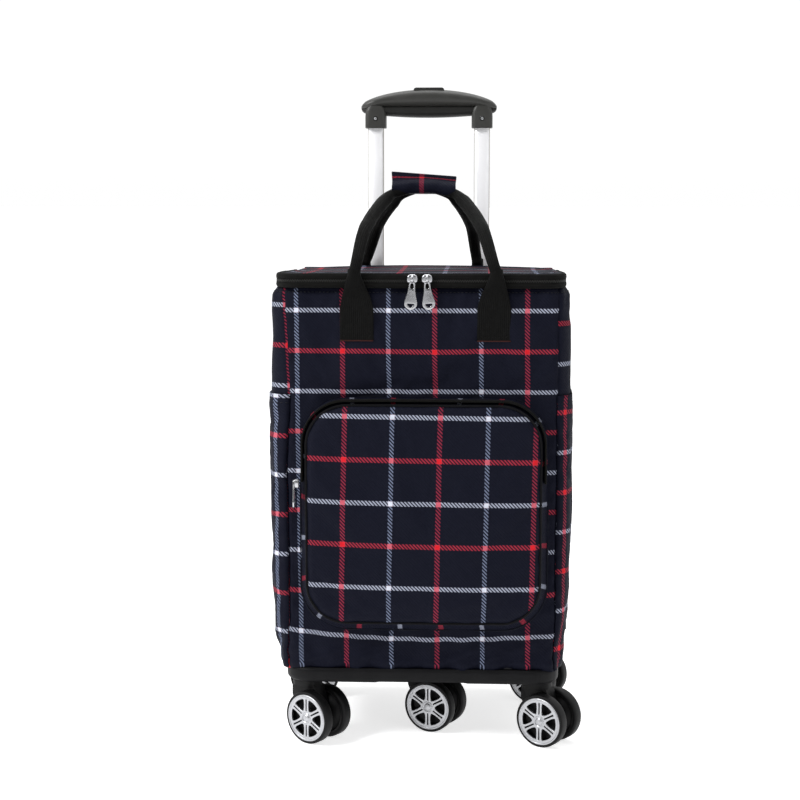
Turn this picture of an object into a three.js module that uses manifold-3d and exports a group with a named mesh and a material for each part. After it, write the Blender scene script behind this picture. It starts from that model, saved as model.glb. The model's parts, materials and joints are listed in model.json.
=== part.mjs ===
// Folding shopping trolley: a soft bag on a hinged tray with five twin-wheel casters,
// a telescopic handle behind it and two carry loops over the lid.
// Millimetres, +Z up, -Y is the front, and the origin is on the floor under the middle.

import * as THREE from "three";
import { mergeVertices } from "three/addons/utils/BufferGeometryUtils.js";
import Module from "manifold-3d";

const wasm = await Module();
wasm.setup();

// ---------------------------------------------------------------- driving dimensions

const GAP = 0.3;

// Bag
const BAG_FRONT = -104;
const BAG_BACK = 109;
const BAG_BOTTOM = 89.5;
const BAG_TOP = 521;
const BAG_HALF_WIDTH = 168;
const BAG_HALF_WIDTH_LOW = 161;
const BAG_HALF_WIDTH_FOOT = 146;
const BAG_TAPER_TOP = 185;
const POCKET_HEM = 396;
const WALL = 3;
const CORNER = 24;
const SEAM_X = 137;

// Lid and front pocket
const LID_BACK = 94;
const LID_THICK = 12;
const POCKET_HALF_WIDTH = 138;
const POCKET_BOTTOM = 130;
const POCKET_TOP = 390;
const POCKET_DEPTH = 30;
const SIDE_POCKET_OUT = 169.5;
const SIDE_POCKET_NEAR = 151;
const SIDE_POCKET_FRONT = -90;
const SIDE_POCKET_BACK = 96;

// Tray
const TRAY_TOP = 87;
const TRAY_BOTTOM = 72;
const TRAY_HALF_WIDTH = 152;
const TRAY_BACK = 133;
const TRAY_CORNER = 34;
const TRAY_SKIN = 3;
const TRAY_SKIRT = 4;
const HINGE_Y = 122;
const HINGE_Z = 130;
const EAR_X = 104;
const EAR_WIDE = 8;
const EAR_R = 8;
const PIN_R = 3;
const BEAM_TOP = 160;
const BEAM_DEEP = 10;
const BOARD_HALF_WIDTH = 120;

// Telescopic handle
const TUBE_X = 64;
const TUBE_Y = 122.2;
const OUTER_TUBE = { wide: 23, deep: 16, wall: 1.4, bottom: 139, top: 520 };
const INNER_TUBE = { wide: 19, deep: 12, wall: 1.2, bottom: 301, top: 705 };
const GRIP_HALF_WIDTH = 83;
const GRIP_SEAM = 720;
const GRIP_TOP = 740;
const SOCKET_BOTTOM = 693;
const SOCKET_WIDE = 26;
const GRIP_DEEP = 28;
const BUTTON = { wide: 36.8, deep: 15, bottom: 727, top: 741.2 };

// Carry loops
const STRAP_R = 6.5;
const LOOP_X = 76.5;
const REAR_LOOP_X = 69;
const REAR_LOOP_LEAN = -8.5;
const LOOP_TOP = 622;
const FRONT_ROOT_Y = -112;
const REAR_ROOT_Y = 101;
const TAB_WIDE = 38;
const TAB_BOTTOM = 456;
const WRAP_LENGTH = 72;
const WRAP_HIGH = 22;

// Casters
const WHEEL_R = 30;
const WHEEL_WIDE = 12.5;
const WHEEL_INNER_FACE = 9.3;
const RIM_R = 24.5;
const TRAIL = 16;
const AXLE_R = 2.5;
const WHEEL_SIDES = 24;
const AXLE_Z = WHEEL_R * Math.cos(Math.PI / WHEEL_SIDES);
const HOOD_BOTTOM = 61;
const HOOD_TOP = 69.7;
const HOOD_HALF_WIDE = 11;
const STEM_R = 5;
const POD_R = 19;
const CASTERS = [
  { name: "front_left", x: -130, y: -80, turn: 35 },
  { name: "front_right", x: 130, y: -80, turn: 33 },
  { name: "middle", x: 0, y: -33, turn: 24 },
  { name: "rear_left", x: -122, y: 82, turn: 176 },
  { name: "rear_right", x: 122, y: 82, turn: 27 },
];

// ---------------------------------------------------------------- materials

const LOOKS = {
  plaid: { color: 0x2b2a3a, roughness: 0.9, metalness: 0 },
  webbing: { color: 0x1c1c1a, roughness: 0.85, metalness: 0 },
  tray: { color: 0x202122, roughness: 0.55, metalness: 0 },
  board: { color: 0x2a2a2c, roughness: 0.7, metalness: 0 },
  aluminium: { color: 0xd6d8dc, roughness: 0.3, metalness: 1 },
  steel: { color: 0xb8babd, roughness: 0.35, metalness: 1 },
  grip: { color: 0x3c3c3a, roughness: 0.5, metalness: 0 },
  button: { color: 0x2e2e2d, roughness: 0.45, metalness: 0 },
  tyre: { color: 0x17181a, roughness: 0.7, metalness: 0 },
  rim: { color: 0xe1e1e4, roughness: 0.4, metalness: 0.3 },
  zip: { color: 0xc9cacc, roughness: 0.3, metalness: 1 },
};

function piece(name, geometry, look) {
  const mesh = new THREE.Mesh(geometry, new THREE.MeshStandardMaterial(LOOKS[look]));
  mesh.name = name;
  return mesh;
}

// ---------------------------------------------------------------- solids

function toSolid(geometry) {
  const bare = geometry.clone();
  bare.deleteAttribute("normal");
  bare.deleteAttribute("uv");
  const merged = mergeVertices(bare, 1e-4);
  return new wasm.Manifold(
    new wasm.Mesh({
      numProp: 3,
      vertProperties: new Float32Array(merged.attributes.position.array),
      triVerts: new Uint32Array(merged.index.array),
    }),
  );
}

function toGeometry(solid) {
  const mesh = solid.getMesh();
  const geometry = new THREE.BufferGeometry();
  geometry.setAttribute("position", new THREE.BufferAttribute(mesh.vertProperties, 3));
  geometry.setIndex(new THREE.BufferAttribute(mesh.triVerts, 1));
  geometry.computeVertexNormals();
  return geometry;
}

function cut(geometry, ...tools) {
  return toGeometry(tools.reduce((solid, tool) => solid.subtract(toSolid(tool)), toSolid(geometry)));
}

function join(...geometries) {
  return toGeometry(geometries.map(toSolid).reduce((whole, solid) => whole.add(solid)));
}

function common(a, b) {
  return toGeometry(toSolid(a).intersect(toSolid(b)));
}

// A box from its lowest and highest corners.
function box(low, high) {
  const size = high.map((value, i) => value - low[i]);
  const centre = high.map((value, i) => (value + low[i]) / 2);
  return new THREE.BoxGeometry(...size).translate(...centre);
}

// A cylinder along Z between two heights.
function post(x, y, bottom, top, radius, sides = 20) {
  const cylinder = new THREE.CylinderGeometry(radius, radius, top - bottom, sides);
  return cylinder.rotateX(Math.PI / 2).translate(x, y, (bottom + top) / 2);
}

// A cylinder along X between two places.
function rod(left, right, y, z, radius, sides = 16) {
  const cylinder = new THREE.CylinderGeometry(radius, radius, right - left, sides);
  return cylinder.rotateZ(Math.PI / 2).translate((left + right) / 2, y, z);
}

// The points of a rectangle with round corners, counter-clockwise.
function roundedOutline(left, right, low, high, radius, steps = 4) {
  const centres = [
    [right - radius, high - radius],
    [left + radius, high - radius],
    [left + radius, low + radius],
    [right - radius, low + radius],
  ];
  const points = [];
  centres.forEach(([x, y], quarter) => {
    for (let i = 0; i <= steps; i += 1) {
      const angle = (quarter + i / steps) * (Math.PI / 2);
      points.push(new THREE.Vector2(x + radius * Math.cos(angle), y + radius * Math.sin(angle)));
    }
  });
  return points;
}

// An outline in X and Y raised from one height to another.
function raise(outline, bottom, top, holes = []) {
  const shape = new THREE.Shape(outline);
  shape.holes = holes.map((hole) => new THREE.Path(hole));
  const solid = new THREE.ExtrudeGeometry(shape, { depth: top - bottom, bevelEnabled: false });
  return solid.translate(0, 0, bottom);
}

// An outline in X and Z carried along Y from the front face to the back face.
function carryBack(outline, front, back, holes = [], bevel = 0) {
  const shape = new THREE.Shape(outline);
  shape.holes = holes.map((hole) => new THREE.Path(hole));
  const solid = new THREE.ExtrudeGeometry(shape, {
    depth: back - front - 2 * bevel,
    bevelEnabled: bevel > 0,
    bevelSize: bevel,
    bevelThickness: bevel,
    bevelOffset: -bevel,
    bevelSegments: 1,
  });
  return solid.rotateX(Math.PI / 2).translate(0, back - bevel, 0);
}

// A closed solid through rings of points, one ring at each height, from the bottom up.
function loft(rings) {
  const count = rings[0].points.length;
  const vertices = [];
  const faces = [];
  rings.forEach(({ z, points }) => points.forEach((p) => vertices.push(p.x, p.y, z)));
  for (let k = 0; k + 1 < rings.length; k += 1) {
    for (let i = 0; i < count; i += 1) {
      const a = k * count + i;
      const b = k * count + ((i + 1) % count);
      faces.push(a, b, b + count, a, b + count, a + count);
    }
  }
  const lastRing = (rings.length - 1) * count;
  for (let i = 1; i + 1 < count; i += 1) {
    faces.push(0, i + 1, i);
    faces.push(lastRing, lastRing + i, lastRing + i + 1);
  }
  const geometry = new THREE.BufferGeometry();
  geometry.setAttribute("position", new THREE.Float32BufferAttribute(vertices, 3));
  geometry.setIndex(faces);
  geometry.computeVertexNormals();
  return geometry;
}

// ---------------------------------------------------------------- bag

// The bag narrows to its foot, draws in behind the side pockets, and is full width above them.
const BAG_PROFILE = [
  [BAG_BOTTOM, BAG_HALF_WIDTH_FOOT],
  [BAG_TAPER_TOP, BAG_HALF_WIDTH_LOW],
  [POCKET_HEM + 2, BAG_HALF_WIDTH_LOW],
  [POCKET_HEM + 22, BAG_HALF_WIDTH],
  [BAG_TOP - 14, BAG_HALF_WIDTH],
  [BAG_TOP, BAG_HALF_WIDTH - 4],
];

function bagRing(z, halfWidth, inset) {
  const half = halfWidth - inset;
  const points = roundedOutline(-half, half, BAG_FRONT + inset, BAG_BACK - inset, CORNER - inset);
  return { z, points };
}

function bagTube() {
  const outside = loft(BAG_PROFILE.map(([z, half]) => bagRing(z, half, 0)));
  const rings = BAG_PROFILE.map(([z, half]) => bagRing(z, half, WALL));
  rings[0].z -= 1;
  rings[rings.length - 1].z += 1;
  return cut(outside, loft(rings));
}

function makeBag() {
  const tube = bagTube();
  const low = BAG_BOTTOM - 5;
  const high = BAG_TOP + 5;
  const wide = BAG_HALF_WIDTH + 1;
  const front = common(tube, box([-SEAM_X, BAG_FRONT - 1, low], [SEAM_X, 0, high]));
  const back = common(tube, box([-SEAM_X, 0, low], [SEAM_X, BAG_BACK + 1, high]));
  const hingeStrip = box([-SEAM_X, LID_BACK + 2, BAG_TOP - 2], [SEAM_X, BAG_BACK, BAG_TOP + 3]);
  const side = (from, to) => common(tube, box([from, BAG_FRONT - 1, low], [to, BAG_BACK + 1, high]));
  return [
    piece("bag_front", front, "plaid"),
    piece("bag_back", join(back, hingeStrip), "plaid"),
    piece("bag_side_left", side(-wide, -SEAM_X - GAP), "plaid"),
    piece("bag_side_right", side(SEAM_X + GAP, wide), "plaid"),
  ];
}

function makeFloorBoard() {
  const inset = WALL + 1;
  const half = BAG_HALF_WIDTH_FOOT - inset;
  const outline = roundedOutline(-half, half, BAG_FRONT + inset, BAG_BACK - inset, CORNER - inset);
  return piece("floor_board", raise(outline, TRAY_TOP + GAP, BAG_BOTTOM - GAP), "board");
}

function makeLid() {
  const half = BAG_HALF_WIDTH - 3;
  const ring = (z, inset) => ({
    z,
    points: roundedOutline(-half + inset, half - inset, BAG_FRONT + inset, LID_BACK, CORNER),
  });
  const low = BAG_TOP + GAP;
  return piece("lid", loft([ring(low, 0), ring(low + 8, 0), ring(BAG_TOP + LID_THICK, 5)]), "plaid");
}

function makeFrontPocket() {
  const outline = roundedOutline(-POCKET_HALF_WIDTH, POCKET_HALF_WIDTH, POCKET_BOTTOM, POCKET_TOP, 50);
  const front = BAG_FRONT - POCKET_DEPTH;
  return piece("front_pocket", carryBack(outline, front, BAG_FRONT - GAP, [], 7), "plaid");
}

// A side pocket is an outer panel that stands off the bag's side, open along its hem.
function makeSidePocket(name, sign) {
  const profile = [
    [BAG_BOTTOM + 4, BAG_HALF_WIDTH_FOOT + 8],
    [BAG_TAPER_TOP, SIDE_POCKET_OUT],
    [POCKET_HEM, SIDE_POCKET_OUT],
  ];
  const skin = (inset, reach) =>
    loft(
      profile.map(([z, half], k) => ({
        z: z + (k === 0 ? -reach : 0) + (k === 2 ? reach : 0),
        points: roundedOutline(-half + inset, half - inset, BAG_FRONT - 2 + inset, BAG_BACK + inset, CORNER - inset),
      })),
    );
  const shell = cut(skin(0, 0), skin(WALL, 1));
  const [left, right] = [sign * SIDE_POCKET_NEAR, sign * (SIDE_POCKET_OUT + 1)].sort((a, b) => a - b);
  const reach = box([left, SIDE_POCKET_FRONT, 0], [right, SIDE_POCKET_BACK, POCKET_HEM + 1]);
  const panel = common(shell, reach);
  return piece(name, panel, "plaid");
}

// ---------------------------------------------------------------- tray, hinge and back

function makeTray() {
  const outline = roundedOutline(-TRAY_HALF_WIDTH, TRAY_HALF_WIDTH, BAG_FRONT, TRAY_BACK, TRAY_CORNER);
  const inner = roundedOutline(
    -TRAY_HALF_WIDTH + TRAY_SKIN,
    TRAY_HALF_WIDTH - TRAY_SKIN,
    BAG_FRONT + TRAY_SKIN,
    TRAY_BACK - TRAY_SKIN,
    TRAY_CORNER - TRAY_SKIN,
  );
  const shell = cut(
    raise(outline, TRAY_BOTTOM, TRAY_TOP),
    raise(inner, TRAY_BOTTOM - 1, TRAY_BOTTOM + TRAY_SKIRT),
  );
  const pods = CASTERS.map(({ x, y }) => post(x, y, HOOD_TOP + GAP, TRAY_TOP - 1, POD_R));
  const bores = CASTERS.map(({ x, y }) => post(x, y, HOOD_TOP - 1, TRAY_TOP - 5, STEM_R + GAP, 16));
  return cut(join(shell, ...pods, ...trayEars(), ...trayWings()), ...bores);
}

// Two ears at the back rise to the hinge pin.
function trayEars() {
  return [-EAR_X, EAR_X].map((x) => {
    const left = x - EAR_WIDE / 2;
    const right = x + EAR_WIDE / 2;
    const low = [left, HINGE_Y - EAR_R, TRAY_TOP - 4];
    const high = [right, HINGE_Y + EAR_R, HINGE_Z];
    const eye = join(box(low, high), rod(left, right, HINGE_Y, HINGE_Z, EAR_R));
    return cut(eye, rod(left - 1, right + 1, HINGE_Y, HINGE_Z, PIN_R + GAP));
  });
}

// A wedge-shaped wing stands out at each rear corner and guards the bag's foot.
function trayWings() {
  return [-1, 1].map((sign) => {
    const outline = [
      [142, TRAY_TOP - 9],
      [172, TRAY_TOP - 9],
      [172, TRAY_TOP],
      [162, TRAY_TOP + 17],
      [155, TRAY_TOP + 17],
      [152, TRAY_TOP - 2],
      [142, TRAY_TOP - 2],
    ].map(([x, z]) => new THREE.Vector2(sign * x, z));
    return carryBack(outline, BAG_BACK + 2, TRAY_BACK - 8);
  });
}

function makeHingePin() {
  const reach = EAR_X + EAR_WIDE / 2 + 2;
  return piece("hinge_pin", rod(-reach, reach, HINGE_Y, HINGE_Z, PIN_R), "steel");
}

// The beam carries the feet of both outer tubes and turns on the pin between the ears.
function makeHingeBeam() {
  const half = EAR_X - EAR_WIDE / 2 - 0.5;
  const front = HINGE_Y - BEAM_DEEP + 1.5;
  const outline = roundedOutline(front, HINGE_Y + BEAM_DEEP, HINGE_Z - 9, BEAM_TOP, 5, 3);
  const shape = new THREE.Shape(outline);
  const bar = new THREE.ExtrudeGeometry(shape, { depth: 2 * half, bevelEnabled: false });
  const upright = bar.translate(0, 0, -half).rotateY(Math.PI / 2).rotateX(Math.PI / 2);
  const sockets = [-TUBE_X, TUBE_X].map((x) =>
    tubeBlock(x, OUTER_TUBE.wide / 2 + GAP, OUTER_TUBE.deep / 2 + GAP, OUTER_TUBE.bottom - GAP, BEAM_TOP + 1),
  );
  const bore = rod(-half - 1, half + 1, HINGE_Y, HINGE_Z, PIN_R + GAP);
  return piece("hinge_beam", cut(upright, bore, ...sockets), "tray");
}

function tubeBlock(x, halfWide, halfDeep, bottom, top) {
  const low = [x - halfWide, TUBE_Y - halfDeep, bottom];
  return box(low, [x + halfWide, TUBE_Y + halfDeep, top]);
}

function makeBackBoard() {
  const outline = roundedOutline(-BOARD_HALF_WIDTH, BOARD_HALF_WIDTH, HINGE_Z + 32, BAG_TOP - 6, 20);
  return piece("back_board", carryBack(outline, BAG_BACK + 2.1, BAG_BACK + 4.6), "board");
}

function makeTube(name, x, size, look) {
  const outline = (wall) =>
    roundedOutline(
      x - size.wide / 2 + wall,
      x + size.wide / 2 - wall,
      TUBE_Y - size.deep / 2 + wall,
      TUBE_Y + size.deep / 2 - wall,
      3.5 - wall,
      2,
    );
  return piece(name, raise(outline(0), size.bottom, size.top, [outline(size.wall)]), look);
}

function makeTubeClamp() {
  const bar = raise(
    roundedOutline(-88, 88, BAG_BACK + 5, TUBE_Y + OUTER_TUBE.deep / 2 + 3, 3.5, 2),
    OUTER_TUBE.top - 22,
    OUTER_TUBE.top - 1,
  );
  const sockets = [-TUBE_X, TUBE_X].map((x) =>
    tubeBlock(x, OUTER_TUBE.wide / 2 + GAP, OUTER_TUBE.deep / 2 + GAP, OUTER_TUBE.top - 30, OUTER_TUBE.top + 9),
  );
  return piece("tube_clamp", cut(bar, ...sockets), "tray");
}

// ---------------------------------------------------------------- grip

function makeGripLower() {
  const half = GRIP_HALF_WIDTH;
  const socketIn = TUBE_X - SOCKET_WIDE / 2;
  const socketOut = TUBE_X + SOCKET_WIDE / 2;
  const right = [
    [0, 705.5],
    [34, 706.5],
    [socketIn, 707.5],
    [socketIn, SOCKET_BOTTOM],
    [socketOut, SOCKET_BOTTOM],
    [socketOut, 709.5],
    [half - 1.5, 714],
    [half, GRIP_SEAM],
  ];
  const left = right.slice(1).reverse().map(([x, z]) => [-x, z]);
  const outline = [...right, ...left].map(([x, z]) => new THREE.Vector2(x, z));
  const body = carryBack(outline, TUBE_Y - GRIP_DEEP / 2, TUBE_Y + GRIP_DEEP / 2, [], 0);
  const sockets = [-TUBE_X, TUBE_X].map((x) =>
    tubeBlock(x, INNER_TUBE.wide / 2 + GAP, INNER_TUBE.deep / 2 + GAP, 600, INNER_TUBE.top + GAP),
  );
  return piece("grip_lower", cut(body, ...sockets), "grip");
}

function makeGripCover() {
  const half = GRIP_HALF_WIDTH;
  const low = GRIP_SEAM + GAP;
  const steps = 12;
  const crown = Array.from({ length: steps + 1 }, (_, i) => {
    const angle = (Math.PI * i) / steps;
    return new THREE.Vector2(half * Math.cos(angle), low + (GRIP_TOP - low) * Math.sin(angle));
  });
  const body = carryBack(crown, TUBE_Y - GRIP_DEEP / 2, TUBE_Y + GRIP_DEEP / 2);
  const slot = tubeBlock(0, BUTTON.wide / 2 + 0.4, BUTTON.deep / 2 + 0.4, low - 1, GRIP_TOP + 5);
  return piece("grip_cover", cut(body, slot), "grip");
}

function makeButton() {
  const half = BUTTON.wide / 2;
  const outline = roundedOutline(-half, half, BUTTON.bottom, BUTTON.top, 3, 3);
  const button = carryBack(outline, TUBE_Y - BUTTON.deep / 2, TUBE_Y + BUTTON.deep / 2);
  return piece("release_button", button, "button");
}

// ---------------------------------------------------------------- carry loops and tabs

// The rolled strap of one loop: it rises from its root, leans over the lid and crosses in the middle.
// Its feet may stand to one side of its top.
function makeLoop(name, rootX, rootY, topY, rootZ, sideways = 0) {
  const lean = (share) => rootY + (topY - rootY) * share;
  const half = [
    [rootX, lean(0), rootZ],
    [rootX - 3, lean(0.02), rootZ + 13],
    [rootX - 10, lean(0.22), rootZ + 40],
    [rootX - 16, lean(0.42), rootZ + 54],
    [rootX - 24, lean(0.67), LOOP_TOP - 25],
    [rootX - 33, lean(0.95), LOOP_TOP - 13],
    [rootX - 44, lean(0.995), LOOP_TOP - 5],
  ];
  const mirrored = [...half].reverse().map(([x, y, z]) => [-x, y, z]);
  const straight = LOOP_TOP - 14;
  const line = [...half, [0, topY, LOOP_TOP], ...mirrored].map(([x, y, z]) => {
    const aside = sideways * Math.max(0, (straight - z) / (straight - rootZ));
    return new THREE.Vector3(x + aside, y, z);
  });
  const path = new THREE.CatmullRomCurve3(line);
  const section = new THREE.Shape(
    Array.from({ length: 8 }, (_, i) => {
      const angle = ((i + 0.5) * Math.PI) / 4;
      return new THREE.Vector2(STRAP_R * Math.cos(angle), STRAP_R * Math.sin(angle));
    }),
  );
  return piece(name, new THREE.ExtrudeGeometry(section, { steps: 26, extrudePath: path }), "webbing");
}

// The plaid wrap is a flap over the tops of both loops, open below.
function makeWrap() {
  const halfDeep = 2 * STRAP_R + 7;
  const low = LOOP_TOP - 9;
  const high = low + WRAP_HIGH;
  const cloth = box([-WRAP_LENGTH / 2, -halfDeep, low], [WRAP_LENGTH / 2, halfDeep, high]);
  const inside = box(
    [-WRAP_LENGTH, -halfDeep + 2, low - 1],
    [WRAP_LENGTH, halfDeep - 2, LOOP_TOP + STRAP_R + 1],
  );
  return piece("grip_wrap", cut(cloth, inside), "plaid");
}

// A webbing tab lies flat on the bag and narrows at its top to the rolled strap.
function makeTab(name, x, front, back) {
  const half = TAB_WIDE / 2;
  const outline = [
    [x - half, TAB_BOTTOM],
    [x + half, TAB_BOTTOM],
    [x + half, 490],
    [x + STRAP_R, 517],
    [x + STRAP_R, 526],
    [x - STRAP_R, 526],
    [x - STRAP_R, 517],
    [x - half, 490],
  ].map(([px, pz]) => new THREE.Vector2(px, pz));
  return piece(name, carryBack(outline, front, back), "webbing");
}

// ---------------------------------------------------------------- zip sliders

const SLIDER = { wide: 9.6, front: -112.3, back: -107.8, low: 516.5, high: 527 };

function makeSlider(name, x) {
  const half = SLIDER.wide / 2;
  const outline = roundedOutline(x - half, x + half, SLIDER.low, SLIDER.high, 3, 3);
  return piece(name, carryBack(outline, SLIDER.front, SLIDER.back), "zip");
}

function makePull(name, x) {
  const outline = [
    [x - 5, 523],
    [x + 5, 523],
    [x + 6, 493],
    [x, 488],
    [x - 6, 493],
  ].map(([px, pz]) => new THREE.Vector2(px, pz));
  const window = roundedOutline(x - 3, x + 3, 508, 519, 2.5, 2);
  const arrow = [
    [x - 3, 496],
    [x, 492],
    [x + 3, 496],
  ].map(([px, pz]) => new THREE.Vector2(px, pz));
  const front = SLIDER.front - GAP - 1.5;
  return piece(name, carryBack(outline, front, SLIDER.front - GAP, [window, arrow]), "zip");
}

// ---------------------------------------------------------------- casters

function tyreGeometry() {
  const half = WHEEL_WIDE / 2;
  const inner = RIM_R + GAP;
  const profile = [
    [inner, -half],
    [WHEEL_R - 2.5, -half],
    [WHEEL_R, -half + 2.5],
    [WHEEL_R, half - 2.5],
    [WHEEL_R - 2.5, half],
    [inner, half],
    [inner, -half],
  ].map(([x, y]) => new THREE.Vector2(x, y));
  return new THREE.LatheGeometry(profile, WHEEL_SIDES, Math.PI / WHEEL_SIDES);
}

// A rim with six windows between its spokes, and a bore for the axle.
function rimGeometry() {
  const ring = (radius, sides, turn = 0) =>
    Array.from({ length: sides }, (_, i) => {
      const angle = turn + (2 * Math.PI * i) / sides;
      return new THREE.Vector2(radius * Math.cos(angle), radius * Math.sin(angle));
    });
  const windows = Array.from({ length: 6 }, (_, k) => {
    const middle = (k * Math.PI) / 3;
    const corner = (radius, offset) =>
      new THREE.Vector2(radius * Math.cos(middle + offset), radius * Math.sin(middle + offset));
    return [corner(9, -0.2), corner(19.5, -0.34), corner(20.5, 0), corner(19.5, 0.34), corner(9, 0.2)];
  });
  const outline = ring(RIM_R, WHEEL_SIDES, Math.PI / WHEEL_SIDES);
  const holes = [ring(AXLE_R + GAP, 12), ...windows];
  const disc = raise(outline, -WHEEL_WIDE / 2 + 1, WHEEL_WIDE / 2 - 1, holes);
  return disc.rotateX(Math.PI / 2);
}

function forkGeometry() {
  const web = [
    [-16, HOOD_BOTTOM + 2],
    [-16, HOOD_BOTTOM - 12],
    [-12, HOOD_BOTTOM - 21],
    [TRAIL - 12, AXLE_Z - 2],
    [TRAIL - 4, AXLE_Z - 7],
    [TRAIL + 4, AXLE_Z - 7],
    [TRAIL + 8, AXLE_Z - 2],
    [TRAIL + 8, AXLE_Z + 8],
    [17, HOOD_BOTTOM + 2],
  ].map(([x, z]) => new THREE.Vector2(x, z));
  const half = WHEEL_INNER_FACE - 0.8;
  const cap = roundedOutline(-17, 17, -HOOD_HALF_WIDE, HOOD_HALF_WIDE, 8, 3);
  const hood = raise(cap, HOOD_BOTTOM, HOOD_TOP);
  const stem = post(0, 0, HOOD_BOTTOM + 2, TRAY_TOP - 6, STEM_R, 16);
  const bore = new THREE.CylinderGeometry(AXLE_R + GAP, AXLE_R + GAP, 40, 12).translate(TRAIL, 0, AXLE_Z);
  return cut(join(carryBack(web, -half, half), hood, stem), bore);
}

function makeCaster({ name, x, y, turn }) {
  const caster = new THREE.Group();
  caster.position.set(x, y, 0);
  caster.rotation.z = THREE.MathUtils.degToRad(-turn);
  caster.add(piece(`${name}_fork`, forkGeometry(), "tray"));
  const axleReach = WHEEL_INNER_FACE + WHEEL_WIDE - 0.5;
  const axle = new THREE.CylinderGeometry(AXLE_R, AXLE_R, 2 * axleReach, 12).translate(TRAIL, 0, AXLE_Z);
  caster.add(piece(`${name}_axle`, axle, "steel"));
  [["a", -1], ["b", 1]].forEach(([letter, side]) => {
    const wheel = new THREE.Group();
    wheel.position.set(TRAIL, side * (WHEEL_INNER_FACE + WHEEL_WIDE / 2), AXLE_Z);
    wheel.add(piece(`${name}_tyre_${letter}`, tyreGeometry(), "tyre"));
    wheel.add(piece(`${name}_rim_${letter}`, rimGeometry(), "rim"));
    caster.add(wheel);
  });
  return caster;
}

// ---------------------------------------------------------------- assembly

const trolley = new THREE.Group();
trolley.add(...makeBag(), makeFloorBoard(), makeLid(), makeFrontPocket());
trolley.add(makeSidePocket("side_pocket_left", -1), makeSidePocket("side_pocket_right", 1));
trolley.add(piece("base_tray", makeTray(), "tray"), makeHingePin(), makeHingeBeam(), makeBackBoard());
[["left", -TUBE_X], ["right", TUBE_X]].forEach(([side, x]) => {
  trolley.add(makeTube(`outer_tube_${side}`, x, OUTER_TUBE, "aluminium"));
  trolley.add(makeTube(`inner_tube_${side}`, x, INNER_TUBE, "aluminium"));
});
trolley.add(makeTubeClamp(), makeGripLower(), makeGripCover(), makeButton());
trolley.add(makeLoop("front_loop", LOOP_X, FRONT_ROOT_Y, -STRAP_R - 1, 528.3));
trolley.add(makeLoop("rear_loop", REAR_LOOP_X, REAR_ROOT_Y, STRAP_R + 1, 532, REAR_LOOP_LEAN));
trolley.add(makeWrap());
[["left", -LOOP_X], ["right", LOOP_X]].forEach(([side, x]) => {
  trolley.add(makeTab(`front_tab_${side}`, x, BAG_FRONT - 2.3, BAG_FRONT - GAP));
});
[["left", -6.5], ["right", 6.5]].forEach(([side, x]) => {
  trolley.add(makeSlider(`zip_slider_${side}`, x), makePull(`zip_pull_${side}`, x));
});
CASTERS.forEach((caster) => trolley.add(makeCaster(caster)));

export default trolley;
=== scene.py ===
"""Folding shopping trolley: looks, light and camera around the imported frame."""

import json
import math

import bmesh
import bpy
import numpy as np
from mathutils import Matrix, Vector, noise

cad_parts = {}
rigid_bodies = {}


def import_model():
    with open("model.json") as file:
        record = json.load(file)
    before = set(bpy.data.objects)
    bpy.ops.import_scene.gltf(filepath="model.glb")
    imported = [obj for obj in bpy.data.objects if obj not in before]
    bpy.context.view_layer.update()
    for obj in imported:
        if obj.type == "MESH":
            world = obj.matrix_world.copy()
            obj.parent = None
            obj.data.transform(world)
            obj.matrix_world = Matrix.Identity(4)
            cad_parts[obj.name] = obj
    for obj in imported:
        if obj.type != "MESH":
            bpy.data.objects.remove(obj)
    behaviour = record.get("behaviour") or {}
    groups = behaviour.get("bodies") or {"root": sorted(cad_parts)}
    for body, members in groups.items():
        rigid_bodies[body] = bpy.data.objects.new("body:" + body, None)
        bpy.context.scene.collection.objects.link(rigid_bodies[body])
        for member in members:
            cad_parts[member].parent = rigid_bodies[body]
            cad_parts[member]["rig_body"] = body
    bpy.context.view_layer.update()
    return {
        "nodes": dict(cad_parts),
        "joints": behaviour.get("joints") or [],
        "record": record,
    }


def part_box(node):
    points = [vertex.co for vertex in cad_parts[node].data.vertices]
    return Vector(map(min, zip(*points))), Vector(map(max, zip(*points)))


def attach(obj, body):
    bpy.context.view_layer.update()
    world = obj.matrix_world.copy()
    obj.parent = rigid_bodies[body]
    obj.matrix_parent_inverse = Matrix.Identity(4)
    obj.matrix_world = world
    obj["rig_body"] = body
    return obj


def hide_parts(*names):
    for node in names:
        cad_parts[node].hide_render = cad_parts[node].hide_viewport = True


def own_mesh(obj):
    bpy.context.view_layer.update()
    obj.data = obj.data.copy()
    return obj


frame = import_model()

NODES = frame["nodes"]
JOINTS = {joint["name"]: joint for joint in frame["joints"]}
CASTERS = ["front_left", "front_right", "middle", "rear_left", "rear_right"]

# Driving places, read from the frame.
BAG_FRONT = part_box("bag_front")[0].y
BAG_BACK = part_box("bag_back")[1].y
HEM_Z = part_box("side_pocket_left")[1].z
LID_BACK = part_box("lid")[1].y
TAB_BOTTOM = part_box("front_tab_left")[0].z
POCKET_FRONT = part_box("front_pocket")[0].y
FRONT_ROOT = Vector(JOINTS["front_loop_swing"]["pos_m"])
REAR_ROOT = Vector(JOINTS["rear_loop_swing"]["pos_m"])
TUBE_LOW, TUBE_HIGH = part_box("inner_tube_right")
TUBE_MIDDLE = (TUBE_LOW.x + TUBE_HIGH.x) / 2
TUBE_HALF = (TUBE_HIGH.x - TUBE_LOW.x) / 2

# ------------------------------------------------------------------ materials


def srgb(red, green, blue):
    """A display colour from 0 to 255 as the linear colour that a shader wants."""
    def linear(value):
        value /= 255
        return value / 12.92 if value <= 0.04045 else ((value + 0.055) / 1.055) ** 2.4

    return (linear(red), linear(green), linear(blue), 1.0)


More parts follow.
